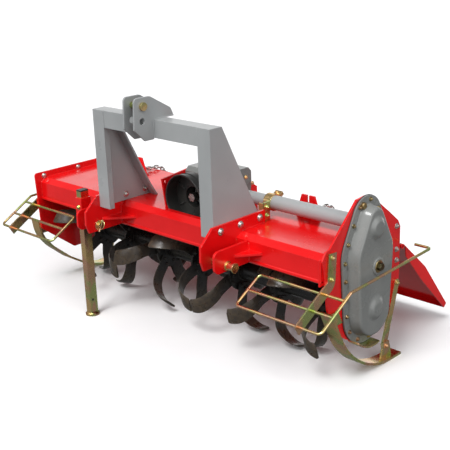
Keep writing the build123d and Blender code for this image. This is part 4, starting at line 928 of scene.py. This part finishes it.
# ---- tailboard: stiffening swages and hinge bolts -----------------------------------------------
TAIL_BENDS = (Vector((0, 0.4046, -0.1445)), Vector((0, 0.566, -0.285)), Vector((0, 0.744, -0.504)))
TAIL_OUT = Vector((0, 0.656, 0.755))        # away from the sheet between the first two
SWAGES = ((0, 0.45), (1, 0.38), (1, 0.74))  # the bend above it, its share of the way to the next
swages = Shape()
for above, share in SWAGES:
    place = TAIL_BENDS[above].lerp(TAIL_BENDS[above + 1], share)
    swages.sweep([place + RIGHT * x for x in (-0.905, -0.88, -0.5, 0.0, 0.4, 0.705, 0.73)],
                 0.0036, 12)
swages.make("tailboard_swages", red_paint, "tailboard")

hinge_bolts = Shape()
for x in (-0.845, -0.0875, 0.670):
    for aside in (-0.020, 0.020):
        bolt(hinge_bolts, (x + aside, hood_high.y, -0.128), (0, 1, 0), 7.0)
for x in (-0.911, 0.736):
    hinge_bolts.lathe((x, hinge_axis.y, hinge_axis.z), RIGHT,
                      [(0.0065, -0.003), (0.0105, -0.002), (0.0105, 0.0015), (0.0065, 0.002)])
hinge_bolts.make("hinge_bolts", bright_steel, "frame")

# ---- chains that hold the tailboard -------------------------------------------------------------
CHAIN_PITCH = 0.0225
CHAIN_WIRE = 0.0028
LINK_BEND = 0.0072          # radius of a link's ends
LINK_SHORTER = 0.0035       # a link's straight half, less than half the pitch by this
CHAIN_RUN = (               # Y, Z of the way from the hood's lug to near the tailboard's bracket
    (0.2180, -0.020), (0.2280, -0.0005), (0.2420, -0.0120), (0.290, -0.036), (0.345, -0.0385),
    (0.388, -0.066), (0.455, -0.150), (0.530, -0.225))


def smooth_line(points, pitch):
    """Places along a rounded line through the points, an odd number of even gaps near the pitch."""
    points = [Vector(p) for p in points]
    points = [2 * points[0] - points[1]] + points + [2 * points[-1] - points[-2]]
    fine = []
    for i in range(1, len(points) - 2):
        a, b, c, d = points[i - 1:i + 3]
        for step in range(24):
            t = step / 24
            fine.append(0.5 * (2 * b + (c - a) * t + (2 * a - 5 * b + 4 * c - d) * t * t
                               + (3 * b - a - 3 * c + d) * t ** 3))
    fine.append(points[-2])
    total = sum((after - before).length for before, after in zip(fine, fine[1:]))
    count = 2 * round((total / pitch - 1) / 2) + 1
    spacing = total / count
    places, gone = [fine[0]], 0.0
    for before, after in zip(fine, fine[1:]):
        length = (after - before).length
        while len(places) < count and gone + length >= spacing * len(places):
            places.append(before.lerp(after, (spacing * len(places) - gone) / length))
        gone += length
    return places + [fine[-1]]


def link(shape, start, end, turned):
    """One oval chain link between two places, flat or on edge."""
    along = (end - start).normalized()
    sideways = RIGHT if turned else along.cross(RIGHT).normalized()
    middle = (start + end) / 2
    half = (end - start).length / 2 - LINK_SHORTER
    line = []
    for i in range(20):
        angle = math.tau * i / 20
        reach = half if math.cos(angle) >= 0 else -half
        line.append(middle + along * (reach + LINK_BEND * math.cos(angle))
                    + sideways * LINK_BEND * math.sin(angle))
    shape.sweep(line, CHAIN_WIRE, 8, closed=True)


for label, x in CHAIN_X.items():
    foot = Vector((x, 0.552, -0.2655))      # where the bracket stands on the tailboard
    crown = foot + TAIL_OUT * 0.016
    run = [(x, y, z) for y, z in CHAIN_RUN] + [crown + Vector((0, 0.0026, -0.0024))]
    places = smooth_line(run, CHAIN_PITCH)
    chain = Shape()
    for i, (start, end) in enumerate(zip(places, places[1:])):
        link(chain, start, end, i % 2 == 1)
    made = chain.make("chain_" + label, bright_steel, None)
    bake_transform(made)

    loose_end = Shape()
    for i in range(2):
        start = Vector((x, 0.2165 - 0.014 * i, -0.0215 - 0.0115 * i))
        link(loose_end, start, start + Vector((0, -0.017, -0.0130 + 0.010 * i)), i % 2 == 0)
    loose_end.make("chain_end_" + label, bright_steel, "frame")

    legs = [foot + Vector((aside, 0.004, -0.005)) for aside in (-0.014, 0.014)]
    bends = [foot + Vector((aside, 0.004, 0.010)) + TAIL_OUT * 0.008 for aside in (-0.012, 0.012)]
    bracket = Shape()
    bracket.sweep([legs[0], bends[0], crown, bends[1], legs[1]], 0.0042, 10)
    bracket.make("chain_bracket_" + label, red_paint, "tailboard")

# ---- floor --------------------------------------------------------------------------------------
FLOOR_REACH = 40.0


def floor_material():
    """A pale studio floor that runs out to white."""
    g = Graph("studio_floor")
    tone = g.mix(g.spread(g.noise(3.0, 4.0), 0.3, 0.7), (0.93, 0.93, 0.93), (0.90, 0.90, 0.905))
    return g.finish(tone, 0.85, g.bump(g.noise(400.0, 2.0), 0.05, 0.0002))


ground = cad_box[0].z
floor = bpy.data.meshes.new("studio_floor")
floor.from_pydata([(x * FLOOR_REACH, y * FLOOR_REACH, ground)
                   for x, y in ((-1, -1), (1, -1), (1, 1), (-1, 1))], [], [(0, 1, 2, 3)])
floor.materials.append(floor_material())
floor_piece = add_object("studio_floor", floor)
floor_piece.visible_glossy = False
floor_piece.visible_diffuse = False
